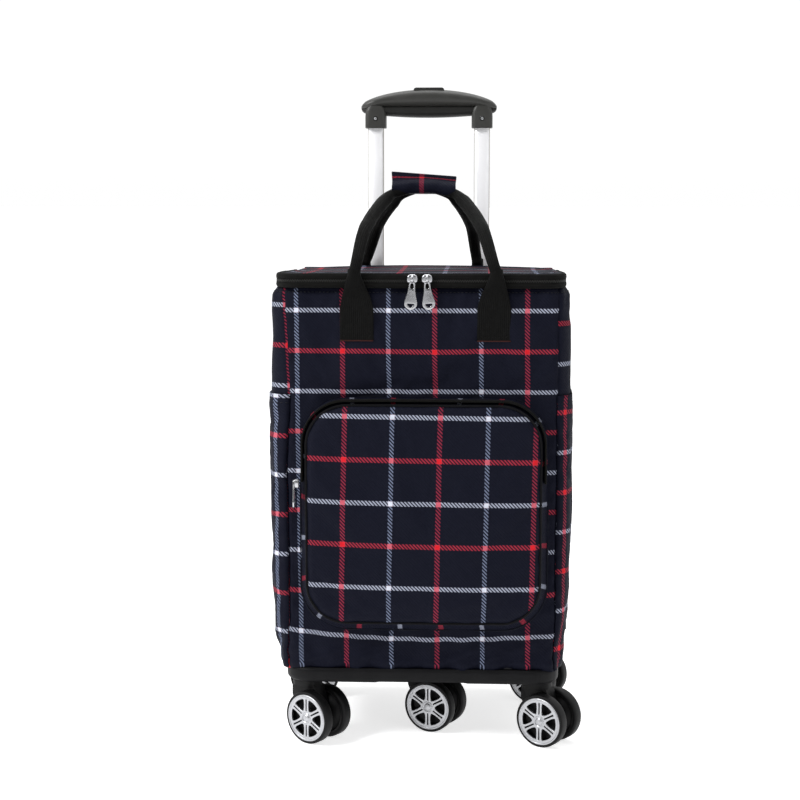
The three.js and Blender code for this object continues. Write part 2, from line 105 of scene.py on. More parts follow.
class Nodes:
    """Short calls for the nodes of one tree."""

    def __init__(self, tree):
        self.tree = tree

    def node(self, kind, **settings):
        made = self.tree.nodes.new(kind)
        for key, value in settings.items():
            setattr(made, key, value)
        return made

    def join(self, source, target):
        if isinstance(source, bpy.types.NodeSocket):
            self.tree.links.new(source, target)
        else:
            target.default_value = source

    def math(self, operation, *values, clamp=False):
        made = self.node("ShaderNodeMath", operation=operation, use_clamp=clamp)
        for value, target in zip(values, made.inputs):
            self.join(value, target)
        return made.outputs[0]

    def times(self, first, second):
        return self.math("MULTIPLY", first, second)

    def mix(self, share, first, second):
        made = self.node("ShaderNodeMix", data_type="RGBA")
        self.join(share, made.inputs["Factor"])
        self.join(first, made.inputs[6])
        self.join(second, made.inputs[7])
        return made.outputs[2]

    def fit(self, value, low, high, to_low, to_high):
        made = self.node("ShaderNodeMapRange")
        for name, source in (("Value", value), ("From Min", low), ("From Max", high),
                             ("To Min", to_low), ("To Max", to_high)):
            self.join(source, made.inputs[name])
        return made.outputs["Result"]

    def split(self, vector):
        """A vector's three parts."""
        parts = self.node("ShaderNodeSeparateXYZ")
        self.join(vector, parts.inputs[0])
        return parts.outputs


class Graph(Nodes):
    """A material's nodes, around its one shader."""

    def __init__(self, name, colour, roughness, metallic=0.0, sheen=0.0, specular=0.5):
        self.material = bpy.data.materials.new(name)
        self.material.use_nodes = True
        super().__init__(self.material.node_tree)
        self.shader = self.tree.nodes["Principled BSDF"]
        self.set("Base Color", colour)
        self.set("Roughness", roughness)
        self.set("Metallic", metallic)
        self.set("Sheen Weight", sheen)
        self.set("Sheen Roughness", 0.4)
        self.set("Specular IOR Level", specular)
        self.material.diffuse_color = colour

    def set(self, socket, value):
        self.shader.inputs[socket].default_value = value

    def paint(self, socket, source):
        self.join(source, self.shader.inputs[socket])

    def place(self):
        return self.node("ShaderNodeTexCoord").outputs["Object"]

    def noise(self, scale, detail=3.0, at=None):
        made = self.node("ShaderNodeTexNoise")
        made.inputs["Scale"].default_value = scale
        made.inputs["Detail"].default_value = detail
        made.inputs["Roughness"].default_value = 0.55
        self.join(at if at is not None else self.place(), made.inputs["Vector"])
        return made.outputs["Fac"]

    def cloth(self):
        """The cloth's own coordinates, in metres across and along it."""
        uv = self.node("ShaderNodeUVMap", uv_map="cloth").outputs["UV"]
        parts = self.split(uv)
        return uv, parts[0], parts[1]

    def ripple(self, along, pitch):
        """A sine wave with one pitch."""
        return self.math("SINE", self.times(along, 2 * math.pi / pitch))

    def bump(self, height, distance, strength=1.0, after=None):
        made = self.node("ShaderNodeBump")
        made.inputs["Distance"].default_value = distance
        made.inputs["Strength"].default_value = strength
        self.join(height, made.inputs["Height"])
        if after is not None:
            self.join(after, made.inputs["Normal"])
        self.paint("Normal", made.outputs[0])
        return made.outputs[0]


def make_tube_metal():
    """Bright drawn aluminium with fine lines along it, with painted shade on its narrow sides where they
    turn away from the light.
    """
    bright = srgb(248, 248, 250)
    g = Graph("bright_tube", bright, 0.4, metallic=0.2)
    stretch = g.node("ShaderNodeMapping")
    stretch.inputs["Scale"].default_value = (1, 1, 0.02)
    at = g.place()
    g.join(at, stretch.inputs["Vector"])
    lines = g.noise(1200, 3, at=stretch.outputs[0])
    from_centre = g.math("ABSOLUTE", g.split(at)[0])
    from_middle = g.math("ABSOLUTE", g.math("SUBTRACT", from_centre, TUBE_MIDDLE))
    edge = g.fit(from_middle, TUBE_HALF - 0.0013, TUBE_HALF - 0.0006, 0.0, 1.0)
    worn = g.mix(g.fit(g.noise(25, 3), 0.4, 0.8, 0, 0.5), bright, srgb(236, 237, 240))
    # painted shade: a darker grey mixed onto the tube's narrow sides, where they turn away from the light
    g.paint("Base Color", g.mix(g.times(edge, 0.85), worn, srgb(150, 146, 138)))
    g.paint("Roughness", g.fit(lines, 0.3, 0.7, 0.34, 0.5))
    g.bump(lines, 0.00003, 0.5)
    return g.material


NAVY = srgb(12, 14, 27)
THREAD_WHITE = srgb(206, 211, 224)
THREAD_RED = srgb(208, 32, 42)
THREAD_PINK = srgb(196, 92, 106)
WARP_WHITE = srgb(108, 117, 140)
WARP_RED = srgb(134, 40, 60)
WEFT_WHITE = srgb(158, 163, 180)
WEFT_RED = srgb(150, 42, 58)
WARP_PITCH = 0.1010
WEFT_PITCH = 0.0888
WHITE_STRIPE = 0.0048
RED_STRIPE = WHITE_STRIPE * 1.1
STRIPE_EDGE = 0.0006
TWILL = 0.0038
YARN = 0.0007


def stripes(g, along, centre, pitch, width):
    """1 on stripes of one width that repeat at one pitch, and 0 between them."""
    turn = g.math("DIVIDE", g.math("SUBTRACT", along, centre), pitch)
    away = g.math("ABSOLUTE", g.math("SUBTRACT", turn, g.math("ROUND", turn)))
    edge = g.math("SUBTRACT", width / 2, g.times(away, pitch))
    return g.math("MULTIPLY_ADD", edge, 1 / STRIPE_EDGE, 0.5, clamp=True)


def make_plaid():
    """A twill: the warp and the weft show by turns along a diagonal. A stripe is dull where it
    crosses navy, bright where it crosses its own colour, and pink where white crosses red."""
    g = Graph("plaid_twill", NAVY, 0.6, specular=0.07)
    uv, across, along = g.cloth()
    across = g.math("ADD", across, g.math("MULTIPLY_ADD", g.noise(9, 2, at=uv), 0.0016, -0.0008))
    white_up = stripes(g, across, 0, WARP_PITCH, WHITE_STRIPE)
    red_up = stripes(g, across, WARP_PITCH / 2, WARP_PITCH, RED_STRIPE)
    white_over = stripes(g, along, 0, WEFT_PITCH, WHITE_STRIPE)
    red_over = stripes(g, along, WEFT_PITCH / 2, WEFT_PITCH, RED_STRIPE)
    warp = g.mix(red_up, g.mix(white_up, NAVY, WARP_WHITE), WARP_RED)
    weft = g.mix(red_over, g.mix(white_over, NAVY, WEFT_WHITE), WEFT_RED)
    wave_height = g.ripple(g.math("ADD", across, along), TWILL)
    colour = g.mix(g.math("MULTIPLY_ADD", wave_height, 1.1, 0.62, clamp=True), warp, weft)
    stripe_up = g.math("ADD", white_up, red_up)
    stripe_over = g.math("ADD", white_over, red_over)
    colour = g.mix(g.math("MULTIPLY", stripe_up, stripe_over, clamp=True), colour, THREAD_PINK)
    colour = g.mix(g.times(white_up, white_over), colour, THREAD_WHITE)
    colour = g.mix(g.times(red_up, red_over), colour, THREAD_RED)
    worn = g.noise(260, 3, at=uv)
    g.paint("Base Color", g.mix(g.fit(worn, 0.3, 0.7, 0.0, 0.16), colour, srgb(12, 13, 22)))
    fine = g.bump(g.math("ADD", wave_height, g.times(g.ripple(across, YARN), 0.5)), 0.00012, 0.7)
    soft = g.bump(g.noise(13, 3, at=uv), 0.0090, 0.7, after=fine)
    g.bump(g.noise(44, 4, at=uv), 0.0020, 0.6, after=soft)
    g.paint("Roughness", g.fit(worn, 0.2, 0.8, 0.58, 0.76))
    return g.material


def make_webbing(name, dark, light):
    """Ribbed webbing: fine ribs across it and a herringbone along it, with painted highlight on the raised
    ribs and painted shade in the grooves.
    """
    g = Graph(name, dark, 0.75, sheen=0.01, specular=0.07)
    uv, across, along = g.cloth()
    rib = g.ripple(across, 0.0021)
    weave = g.ripple(g.math("ADD", along, g.times(rib, 0.0003)), 0.0013)
    both = g.math("ADD", rib, g.times(weave, 0.7))
    # painted highlight and shade: the colour follows the bump's height, lighter on raised ribs and darker
    # in the grooves
    g.paint("Base Color", g.mix(g.fit(both, -1.2, 1.5, 0.0, 0.75), dark, light))
    g.bump(both, 0.00022, 0.8)
    g.paint("Roughness", g.fit(g.noise(150, at=uv), 0.2, 0.8, 0.6, 0.85))
    return g.material


def make_plastic(name, colour, roughness, grain, specular):
    """Grained plastic or rubber with faint lighter patches."""
    g = Graph(name, colour, roughness, specular=specular)
    light = tuple(min(1.0, value * 1.5 + 0.004) for value in colour[:3]) + (1.0,)
    g.paint("Base Color", g.mix(g.fit(g.noise(38, 3), 0.35, 0.75, 0.0, 0.45), colour, light))
    g.paint("Roughness", g.fit(g.noise(90, 3), 0.2, 0.8, roughness - 0.07, roughness + 0.1))
    g.bump(g.noise(grain, 4), 0.00008, 0.6)
    return g.material


def make_metal(name, colour, roughness):
    """Bare metal with a faint grain."""
    g = Graph(name, colour, roughness, metallic=1.0)
    grain = g.noise(400, 3)
    g.paint("Roughness", g.fit(grain, 0.3, 0.7, roughness - 0.06, roughness + 0.1))
    dull = tuple(value * 0.8 for value in colour[:3]) + (1.0,)
    g.paint("Base Color", g.mix(g.fit(g.noise(25, 3), 0.4, 0.8, 0, 0.5), colour, dull))
    g.bump(grain, 0.00003, 0.5)
    return g.material


PLAID = make_plaid()
WEBBING = make_webbing("black_webbing", srgb(6, 6, 6), srgb(17, 17, 16))
ZIP_TAPE = make_webbing("zip_tape", srgb(6, 6, 6), srgb(18, 18, 16))
NAVY_TRIM = make_webbing("navy_trim", srgb(14, 15, 23), srgb(24, 26, 36))
PIPING = make_webbing("piping", srgb(9, 9, 11), srgb(20, 20, 23))
THREAD = make_webbing("stitching_thread", srgb(36, 36, 36), srgb(58, 58, 57))
BINDING = make_webbing("tab_binding", srgb(48, 24, 22), srgb(66, 36, 32))
TRAY_PLASTIC = make_plastic("tray_plastic", srgb(9, 9, 11), 0.5, 1500, specular=0.12)
FORK_PLASTIC = make_plastic("fork_plastic", srgb(6, 6, 7), 0.45, 1200, specular=0.14)
BOARD = make_plastic("stiff_board", srgb(38, 38, 41), 0.7, 700, specular=0.2)
GRIP_PLASTIC = make_plastic("grip_plastic", srgb(42, 42, 40), 0.42, 1400, specular=0.35)
# painted shade: the grip's grey plastic made darker for its underside, which is in shadow
PAINTED_SHADE_BELLY_PLASTIC = make_plastic("grip_belly_painted_shade_plastic", srgb(23, 23, 22), 0.5, 1400, specular=0.2)
BUTTON_PLASTIC = make_plastic("button_plastic", srgb(32, 32, 31), 0.4, 1400, specular=0.3)
TYRE = make_plastic("tyre_rubber", srgb(5, 5, 6), 0.5, 900, specular=0.16)
RIM = make_metal("rim_silver", srgb(176, 177, 180), 0.38)
TUBE = make_tube_metal()
STEEL = make_metal("pin_steel", srgb(190, 192, 195), 0.32)
ZIP_METAL = make_metal("zip_metal", srgb(172, 173, 176), 0.20)
DARK_METAL = make_metal("zip_teeth_metal", srgb(46, 46, 45), 0.5)

# ------------------------------------------------------------------ mesh code


def finish_piece(obj, body, slot, *nodes):
    """The piece moves with its body, and stands for the CAD nodes given."""
    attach(obj, body)
    if nodes:
        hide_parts(*nodes)
    return obj


def new_object(name, mesh, *materials):
    obj = bpy.data.objects.new(name, mesh)
    bpy.context.scene.collection.objects.link(obj)
    for material in materials:
        mesh.materials.append(material)
    return obj


def mesh_piece(name, points, faces, material, corner_uv=None):
    """A smooth mesh. corner_uv gives one (across, along) pair for each face corner, in metres."""
    mesh = bpy.data.meshes.new(name)
    mesh.from_pydata([tuple(p) for p in points], [], faces)
    layer = mesh.uv_layers.new(name="cloth")
    if corner_uv is not None:
        layer.data.foreach_set("uv", np.array(corner_uv, float).reshape(-1))
    mesh.polygons.foreach_set("use_smooth", [True] * len(mesh.polygons))
    mesh.update()
    return new_object(name, mesh, material)


def grid_piece(name, rows, uv_of, material, closed=True, cap=False):
    """A mesh through rows of points. uv_of(row, column, face_column) gives a corner's cloth place."""
    count = len(rows[0])
    spans = count if closed else count - 1
    points = [p for row in rows for p in row]
    faces, uvs = [], []
    for r in range(len(rows) - 1):
        for c in range(spans):
            d = (c + 1) % count
            faces.append((r * count + c, r * count + d, (r + 1) * count + d, (r + 1) * count + c))
            uvs += [uv_of(r, c, c), uv_of(r, c + 1, c), uv_of(r + 1, c + 1, c), uv_of(r + 1, c, c)]
    if cap:
        for r, order in ((0, range(count - 1, -1, -1)), (len(rows) - 1, range(count))):
            faces.append(tuple(r * count + c for c in order))
            uvs += [uv_of(r, c, c) for c in order]
    return mesh_piece(name, points, faces, material, uvs)


def apply_modifiers(obj):
    """The object's mesh becomes what its modifiers make of it."""
    bpy.context.view_layer.update()
    graph = bpy.context.evaluated_depsgraph_get()
    mesh = bpy.data.meshes.new_from_object(obj.evaluated_get(graph))
    obj.modifiers.clear()
    obj.data = mesh
    return obj


def thicken(obj, depth, offset=-1.0, levels=0):
    """Cloth of one thickness, grown inward from its outer face, and rounded."""
    solid = obj.modifiers.new("thickness", "SOLIDIFY")
    solid.thickness = depth
    solid.offset = offset
    if levels:
        smooth = obj.modifiers.new("round", "SUBSURF")
        smooth.levels = smooth.render_levels = levels
    return apply_modifiers(obj)


CLOTH_FRAMES = 14
MOST_SLIDE = 0.003


def settle(obj, held, slack, inward, outward):
    """Cloth simulation: the piece is cut a little too large, is held at some points, and settles
    under its weight. No point moves further in, out or sideways than the caps allow."""
    mesh = obj.data
    before = [v.co.copy() for v in mesh.vertices]
    normals = [v.normal.copy() for v in mesh.vertices]
    obj.vertex_groups.new(name="held").add(list(held), 1.0, "REPLACE")
    cloth = obj.modifiers.new("cloth", "CLOTH")
    cloth.settings.vertex_group_mass = "held"
    cloth.settings.quality = 6
    cloth.settings.mass = 0.04
    cloth.settings.tension_stiffness = 20
    cloth.settings.compression_stiffness = 20
    cloth.settings.shear_stiffness = 8
    cloth.settings.bending_stiffness = 0.35
    cloth.settings.shrink_min = -slack
    cloth.collision_settings.use_collision = False
    cloth.collision_settings.use_self_collision = False
    scene = bpy.context.scene
    for frame_number in range(1, CLOTH_FRAMES + 1):
        scene.frame_set(frame_number)
    settled = obj.evaluated_get(bpy.context.evaluated_depsgraph_get())
    after = [v.co.copy() for v in settled.to_mesh().vertices]
    settled.to_mesh_clear()
    obj.modifiers.clear()
    obj.vertex_groups.clear()
    scene.frame_set(1)
    for vertex, start, normal, end in zip(mesh.vertices, before, normals, after):
        move = end - start
        out = max(-inward, min(outward, move.dot(normal)))
        along = move - normal * move.dot(normal)
        if along.length > MOST_SLIDE:
            along *= MOST_SLIDE / along.length
        vertex.co = start + along + normal * out
    mesh.update()
    return obj


def catmull(points, steps):
    """A smooth path through points, with steps places on each span."""
    fixed = [Vector(p) for p in points]
    ends = [fixed[0] * 2 - fixed[1]] + fixed + [fixed[-1] * 2 - fixed[-2]]
    path = []
    for i in range(1, len(ends) - 2):
        a, b, c, d = ends[i - 1:i + 3]
        for k in range(steps):
            t = k / steps
            path.append(0.5 * (2 * b + (c - a) * t + (2 * a - 5 * b + 4 * c - d) * t * t
                               + (3 * b - 3 * c + d - a) * t ** 3))
    path.append(fixed[-1])
    return path


def lengths(path):
    """How far along a path each of its places is."""
    total = [0.0]
    for a, b in zip(path, path[1:]):
        total.append(total[-1] + (b - a).length)
    return total


def sweep(name, path, section_at, side_at, material, cap=True):
    """A section carried along a path. side_at(i) is the section's first axis at place i, and
    section_at(share) lists its (first, second) points there."""
    run = lengths(path)
    rows = []
    for i, centre in enumerate(path):
        ahead = (path[min(i + 1, len(path) - 1)] - path[max(i - 1, 0)]).normalized()
        side = Vector(side_at(i))
        side = (side - ahead * side.dot(ahead)).normalized()
        up = side.cross(ahead)
        rows.append([centre + side * a + up * b for a, b in section_at(run[i] / run[-1])])
    around = [0.0]
    for a, b in zip(rows[0], rows[0][1:] + rows[0][:1]):
        around.append(around[-1] + (b - a).length)
    return grid_piece(name, rows, lambda r, c, f: (around[c], run[r]), material, cap=cap)


def strand(name, path, section, side, material, cap=True):
    """A sweep with the same section and the same first axis all the way."""
    return sweep(name, path, lambda share: section, lambda i: side, material, cap)


def superellipse(half_a, half_b, count=20, power=2.0):
    """Points of an ellipse, squarer as the power grows."""
    points = []
    for i in range(count):
        angle = 2 * math.pi * i / count
        c, s = math.cos(angle), math.sin(angle)
        points.append((half_a * math.copysign(abs(c) ** (2 / power), c),
                       half_b * math.copysign(abs(s) ** (2 / power), s)))
    return points


def lathe(name, profile, material, turns, close=True):
    """A profile of (radius, along) points turned round the Y axis."""
    rows = []
    for i in range(turns):
        angle = 2 * math.pi * i / turns
        rows.append([Vector((r * math.sin(angle), y, r * math.cos(angle))) for r, y in profile])
    count = len(profile)
    points = [p for row in rows for p in row]
    faces = []
    spans = count if close else count - 1
    for i in range(turns):
        j = (i + 1) % turns
        for k in range(spans):
            m = (k + 1) % count
            faces.append((i * count + k, i * count + m, j * count + m, j * count + k))
    obj = mesh_piece(name, points, faces, material)
    clean_mesh(obj.data)
    return obj


def fill_middle(obj, is_near):
    """Closes the hole in the middle of a ring of cloth."""
    work = bmesh.new()
    work.from_mesh(obj.data)
    edges = [e for e in work.edges if e.is_boundary and is_near(e.verts[0].co)]
    bmesh.ops.holes_fill(work, edges=edges)
    work.to_mesh(obj.data)
    work.free()


def face_toward(obj, way):
    """Turns the faces over if the first of them looks the other way."""
    if obj.data.polygons[0].normal.dot(Vector(way)) < 0:
        obj.data.flip_normals()


def no_weave(r, c, f):
    """The cloth place of a piece that isn't cloth."""
    return (0, 0)


def clean_mesh(mesh):
    """Merges points that meet, and turns every face outward."""
    work = bmesh.new()
    work.from_mesh(mesh)
    bmesh.ops.remove_doubles(work, verts=work.verts, dist=1e-6)
    bmesh.ops.recalc_face_normals(work, faces=work.faces)
    work.to_mesh(mesh)
    work.free()


def refine(node, material, bevel=0.0008, segments=3, angle=40):
    """A copy of a CAD piece with soft edges, which stands for it."""
    source = NODES[node]
    mesh = source.data.copy()
    mesh.materials.clear()
    obj = new_object(node + "_look", mesh, material)
    clean_mesh(mesh)
    edge = obj.modifiers.new("edges", "BEVEL")
    edge.width = bevel
    edge.segments = segments
    edge.limit_method = "ANGLE"
    edge.angle_limit = math.radians(angle)
    edge.harden_normals = False
    apply_modifiers(obj)
    obj.data.polygons.foreach_set("use_smooth", [True] * len(obj.data.polygons))
    obj.data.set_sharp_from_angle(angle=math.radians(angle))
    slots = {s["node"]: s["material_slot"] for s in frame["record"]["subparts"]}
    return finish_piece(obj, source["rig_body"], slots[node], node)


def wave(point, scale, seed=0.0):
    """Smooth noise from -1 to 1 that is the same each run."""
    return noise.noise(Vector(point) / scale + Vector((seed, seed * 1.7, -seed)))


def ease(low, high, value):
    """0 below low, 1 above high, and a smooth step between."""
    t = min(1.0, max(0.0, (value - low) / (high - low)))
    return t * t * (3 - 2 * t)


# ------------------------------------------------------------------ bag

CORNER_R = 0.024
SIDE_SHIFT = -0.0021
# Height and half width of the bag, from its foot up to the zip.
OUTLINE = [
    (0.0862, 0.1555), (0.0920, 0.1562), (0.1060, 0.1574), (0.1330, 0.1610),
    (0.1610, 0.1627), (0.1880, 0.1642), (0.2570, 0.1657), (0.4000, 0.1656),
    (0.4950, 0.1650), (0.5060, 0.1638), (0.5135, 0.1590),
]
SHELL_FOOT = OUTLINE[0][0]
SHELL_HEAD = OUTLINE[-1][0]
# Distances round the bag from the middle of its front: the front seam, and where the back begins.
SEAM = 0.150
SIDE_END = 0.38
WIDE_HALF = 0.1656


def half_width(z):
    return float(np.interp(z, *zip(*OUTLINE)))


def perimeter(half, front, back, radius):
    """The way round a box with round corners, seen from above."""
    return 4 * (half - radius) + 2 * (back - front - 2 * radius) + 2 * math.pi * radius


def outline_place(distance, half, front, back, radius):
    """The place and the outward direction at a distance round the bag."""
    sign = -1 if distance < 0 else 1
    d, flat, quarter = abs(distance), half - radius, radius * math.pi / 2
    if d <= flat:
        return (sign * d, front), (0, -1)
    d -= flat
    if d <= quarter:
        s, c = math.sin(d / radius), math.cos(d / radius)
        return (sign * (flat + radius * s), front + radius - radius * c), (sign * s, -c)
    d -= quarter
    deep = back - front - 2 * radius
    if d <= deep:
        return (sign * half, front + radius + d), (sign, 0)
    d -= deep
    if d <= quarter:
        s, c = math.sin(d / radius), math.cos(d / radius)
        return (sign * (flat + radius * c), back - radius + radius * s), (sign * c, s)
    return (sign * (flat - (d - quarter)), back), (0, 1)


def spaced(start, end, step):
    """Even places from start up to but not at end."""
    return list(np.linspace(start, end, max(2, round((end - start) / step) + 1)))[:-1]


FULL = perimeter(WIDE_HALF, BAG_FRONT, BAG_BACK, CORNER_R) / 2
# The bag's columns of points, closest together at the front seams.
RIGHT_HALF = (spaced(0, 0.142, 0.0045) + spaced(0.142, SEAM - 0.003, 0.0016)
              + spaced(SEAM - 0.003, SEAM + 0.003, 0.001) + spaced(SEAM + 0.003, 0.19, 0.003)
              + spaced(0.19, 0.33, 0.006) + spaced(0.33, 0.37, 0.004) + spaced(0.37, FULL, 0.02))
ROUND = [-d for d in reversed(RIGHT_HALF[1:])] + RIGHT_HALF


def row_distance(reference, half, front, back):
    """Columns keep their place near the front; the rest close up at the back."""
    near = 0.165
    if abs(reference) <= near:
        return reference
    total = perimeter(half, front, back, CORNER_R) / 2
    far = near + (abs(reference) - near) * (total - near) / (FULL - near)
    return math.copysign(far, reference)


def panel_of(distance):
    """Which cut panel of cloth lies at a distance round the bag."""
    if abs(distance) < SEAM:
        return "front"
    if abs(distance) < SIDE_END:
        return "left" if distance < 0 else "right"
    return "back"


def seam_slant(distance, z):
    """The left front seam leans inward under the zip; the cloth beside it gives way."""
    near = max(0.0, 1 - abs(distance + SEAM) / 0.017)
    lean = float(np.interp(z, [0.09, 0.21, 0.31, 0.40, 0.50], [0.0, 0.0022, 0.0006, 0.0052, -0.0006]))
    return lean * near * near * (3 - 2 * near)


# Where one white stripe runs up each panel, and the height where one runs across it.
WHITE_ACROSS = {"front": -0.0366, "left": -SEAM + 0.0008 + WARP_PITCH / 2, "right": SEAM + 0.030,
                "back": 0.02}
WHITE_ALONG = {"front": 0.4889, "left": 0.4944, "right": 0.5193, "back": 0.4889}
# The pattern doesn't change below this height, so no stripe runs across the foot.
PATTERN_FOOT = 0.0930


def cloth_place(distance, z, panel):
    """The cloth's own coordinates. The front panel leans a little and bows down at its foot."""
    across = distance - WHITE_ACROSS[panel]
    along = max(z, PATTERN_FOOT) - WHITE_ALONG[panel]
    if panel == "front":
        across -= 0.0034 * (0.50 - z) / 0.39
        bow = 1 - (0.85 if distance < 0 else 0.45) * (distance / SEAM) ** 2
        along += 0.0122 * bow * (1 - ease(0.115, 0.25, z))
    return (across, along)


def softness(distance, z):
    """How far the cloth stands out from the plain section at one place."""
    calm = 1 - 0.85 * ease(0.130, 0.165, abs(distance))
    swell = math.cos(min(1.0, abs(distance) / SEAM) * math.pi / 2) if abs(distance) < SEAM else 0.0
    out = 0.0026 * swell * ease(0.09, 0.2, z) * (1 - ease(0.40, 0.52, z))
    broad = wave((distance, 0, z), 0.085, 3)
    small = wave((distance, 0, z * 0.6), 0.030, 9)
    out += calm * (0.0030 * broad + 0.0013 * small)
    fold = wave((distance + z * 0.7, 5, z * 0.25 - distance * 0.4), 0.048, 29)
    out += calm * 0.0017 * (1 - min(1.0, abs(fold) / 0.35)) * ease(0.10, 0.16, z)
    tug = wave((distance * 0.5 + abs(z - 0.12) * 1.1, 8, z * 0.3), 0.022, 47)
    out += 0.0013 * (1 - min(1.0, abs(tug) / 0.4)) * (1 - ease(0.12, 0.17, z)) * ease(0.085, 0.10, z)
    slack = wave((distance * 1.3 + z * 0.5, 2, z * 0.8), 0.06, 17)
    out -= 0.0016 * max(0.0, 0.25 - abs(slack)) / 0.25
    near_seam = abs(abs(distance) - SEAM)
    out -= 0.0018 * math.exp(-(near_seam / 0.0020) ** 2)
    turn = z * 2 * math.pi / 0.021 + 3 * wave((distance, 0, z), 0.05)
    out += 0.0007 * math.exp(-near_seam / 0.012) * math.sin(turn)
    foot = 1 - ease(0.090, 0.165, z)
    turn = distance * 2 * math.pi / 0.037 + 5 * wave((distance, 0, z), 0.08, 5)
    out += 0.0018 * foot * math.sin(turn)
    head = ease(0.480, 0.508, z)
    turn = distance * 2 * math.pi / 0.019 + 5 * wave((distance, 0, 0), 0.06, 7)
    return out + 0.0009 * head * math.sin(turn)


def zip_drop(y):
    """The bag's top falls a little towards its back."""
    return -0.0040 * ease(-0.085, 0.085, y)


def bag_place(reference, z, stand=0.0):
    """The cloth's place on the bag, and its outward direction."""
    inset = (1 - ease(SHELL_FOOT, 0.0960, z)) * 0.0022 + ease(0.5045, SHELL_HEAD, z) * 0.003
    half, front, back = half_width(z), BAG_FRONT + inset, BAG_BACK - inset
    placed = row_distance(reference, half, front, back) + seam_slant(reference, z)
    (x, y), (nx, ny) = outline_place(placed, half, front, back, CORNER_R)
    out = softness(reference, z) + stand
    if y > BAG_BACK - 0.02:
        out = min(out, 0.0)
    height = z + zip_drop(y) * ease(0.42, 0.51, z)
    front_corner = ease(0.135, 0.156, abs(x)) * (1 - ease(-0.06, 0.0, y))
    height -= 0.0030 * front_corner * (1 - ease(0.087, 0.12, z))
    x += SIDE_SHIFT * ease(0.140, 0.162, abs(x))
    return Vector((x + nx * out, y + ny * out, height)), Vector((nx, ny, 0))


def shell_is_held(distance, z):
    """Where the cloth is sewn down, stiffened or covered by another piece of cloth."""
    ends = z < SHELL_FOOT + 0.004 or z > 0.5040
    seams = abs(distance) > SEAM - 0.0035
    behind_pocket = abs(distance - 0.0025) < 0.139 and 0.130 < z < 0.3965
    behind_tab = abs(abs(distance - 0.0038) - 0.0748) < 0.0205 and z > TAB_BOTTOM - 0.004
    return ends or seams or behind_pocket or behind_tab


def make_shell():
    """The bag's four walls, in one piece with a cloth pattern for each panel."""
    levels = [float(z) for z in spaced(SHELL_FOOT, 0.110, 0.003) + spaced(0.110, 0.490, 0.0045)
              + spaced(0.490, SHELL_HEAD, 0.0022) + [SHELL_HEAD]]
    rows = [[bag_place(d, z)[0] for d in ROUND] for z in levels]
    ring = ROUND + [2 * FULL + ROUND[0]]
    middle = [(a + b) / 2 for a, b in zip(ring, ring[1:])]

    def uv_of(r, c, f):
        panel = panel_of(middle[f])
        slant = seam_slant(ring[c], levels[r]) if panel == "front" else 0.0
        return cloth_place(ring[c] + slant, levels[r], panel)

    shell = grid_piece("bag_shell", rows, uv_of, PLAID)
    held = [r * len(ROUND) + c for r, z in enumerate(levels) for c, d in enumerate(ROUND)
            if shell_is_held(d, z)]
    settle(shell, held, 0.014, 0.0034, 0.0030)
    thicken(shell, 0.0011)
    finish_piece(shell, "frame", "plaid_fabric", "bag_front", "bag_back",
                 "bag_side_left", "bag_side_right")
    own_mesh(shell)


STITCH_HEIGHT = 0.5085
STITCH_PITCH = 0.0042
STITCH_LENGTH = 0.0026
STITCHED_HALF = 0.31


def make_top_seam():
    """A row of short stitches round the bag under the zip."""
    marks = []
    for k in range(int(2 * STITCHED_HALF / STITCH_PITCH)):
        at = -STITCHED_HALF + STITCH_PITCH * k
        start, out = bag_place(at, STITCH_HEIGHT, 0.0004)
        marks.append((start, bag_place(at + STITCH_LENGTH, STITCH_HEIGHT, 0.0004)[0], out))
    stitches = stitch_marks("top_seam_stitches", marks, THREAD)
    finish_piece(stitches, "frame", "black_webbing")
    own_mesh(stitches)


STITCH_FACES = ((0, 1, 4, 3), (1, 2, 5, 4), (2, 0, 3, 5))


def stitch_marks(name, marks, material):
    """Short raised stitches. Each mark is its start, its end and the outward direction."""
    points, faces = [], []
    for start, end, out in marks:
        along = (end - start).normalized()
        side = along.cross(out).normalized()
        base = len(points)
        middle = (start + end) / 2
        for centre, wide, tall in ((start, 0.0002, 0), (middle, 0.00045, 0.0005), (end, 0.0002, 0)):
            foot = centre - out * 0.0006
            points += [foot - side * wide, foot + side * wide, centre + out * tall]
        for k in (0, 3):
            faces += [tuple(base + k + n for n in quad) for quad in STITCH_FACES]
        faces += [(base, base + 2, base + 1), (base + 6, base + 7, base + 8)]
    return mesh_piece(name, points, faces, material)


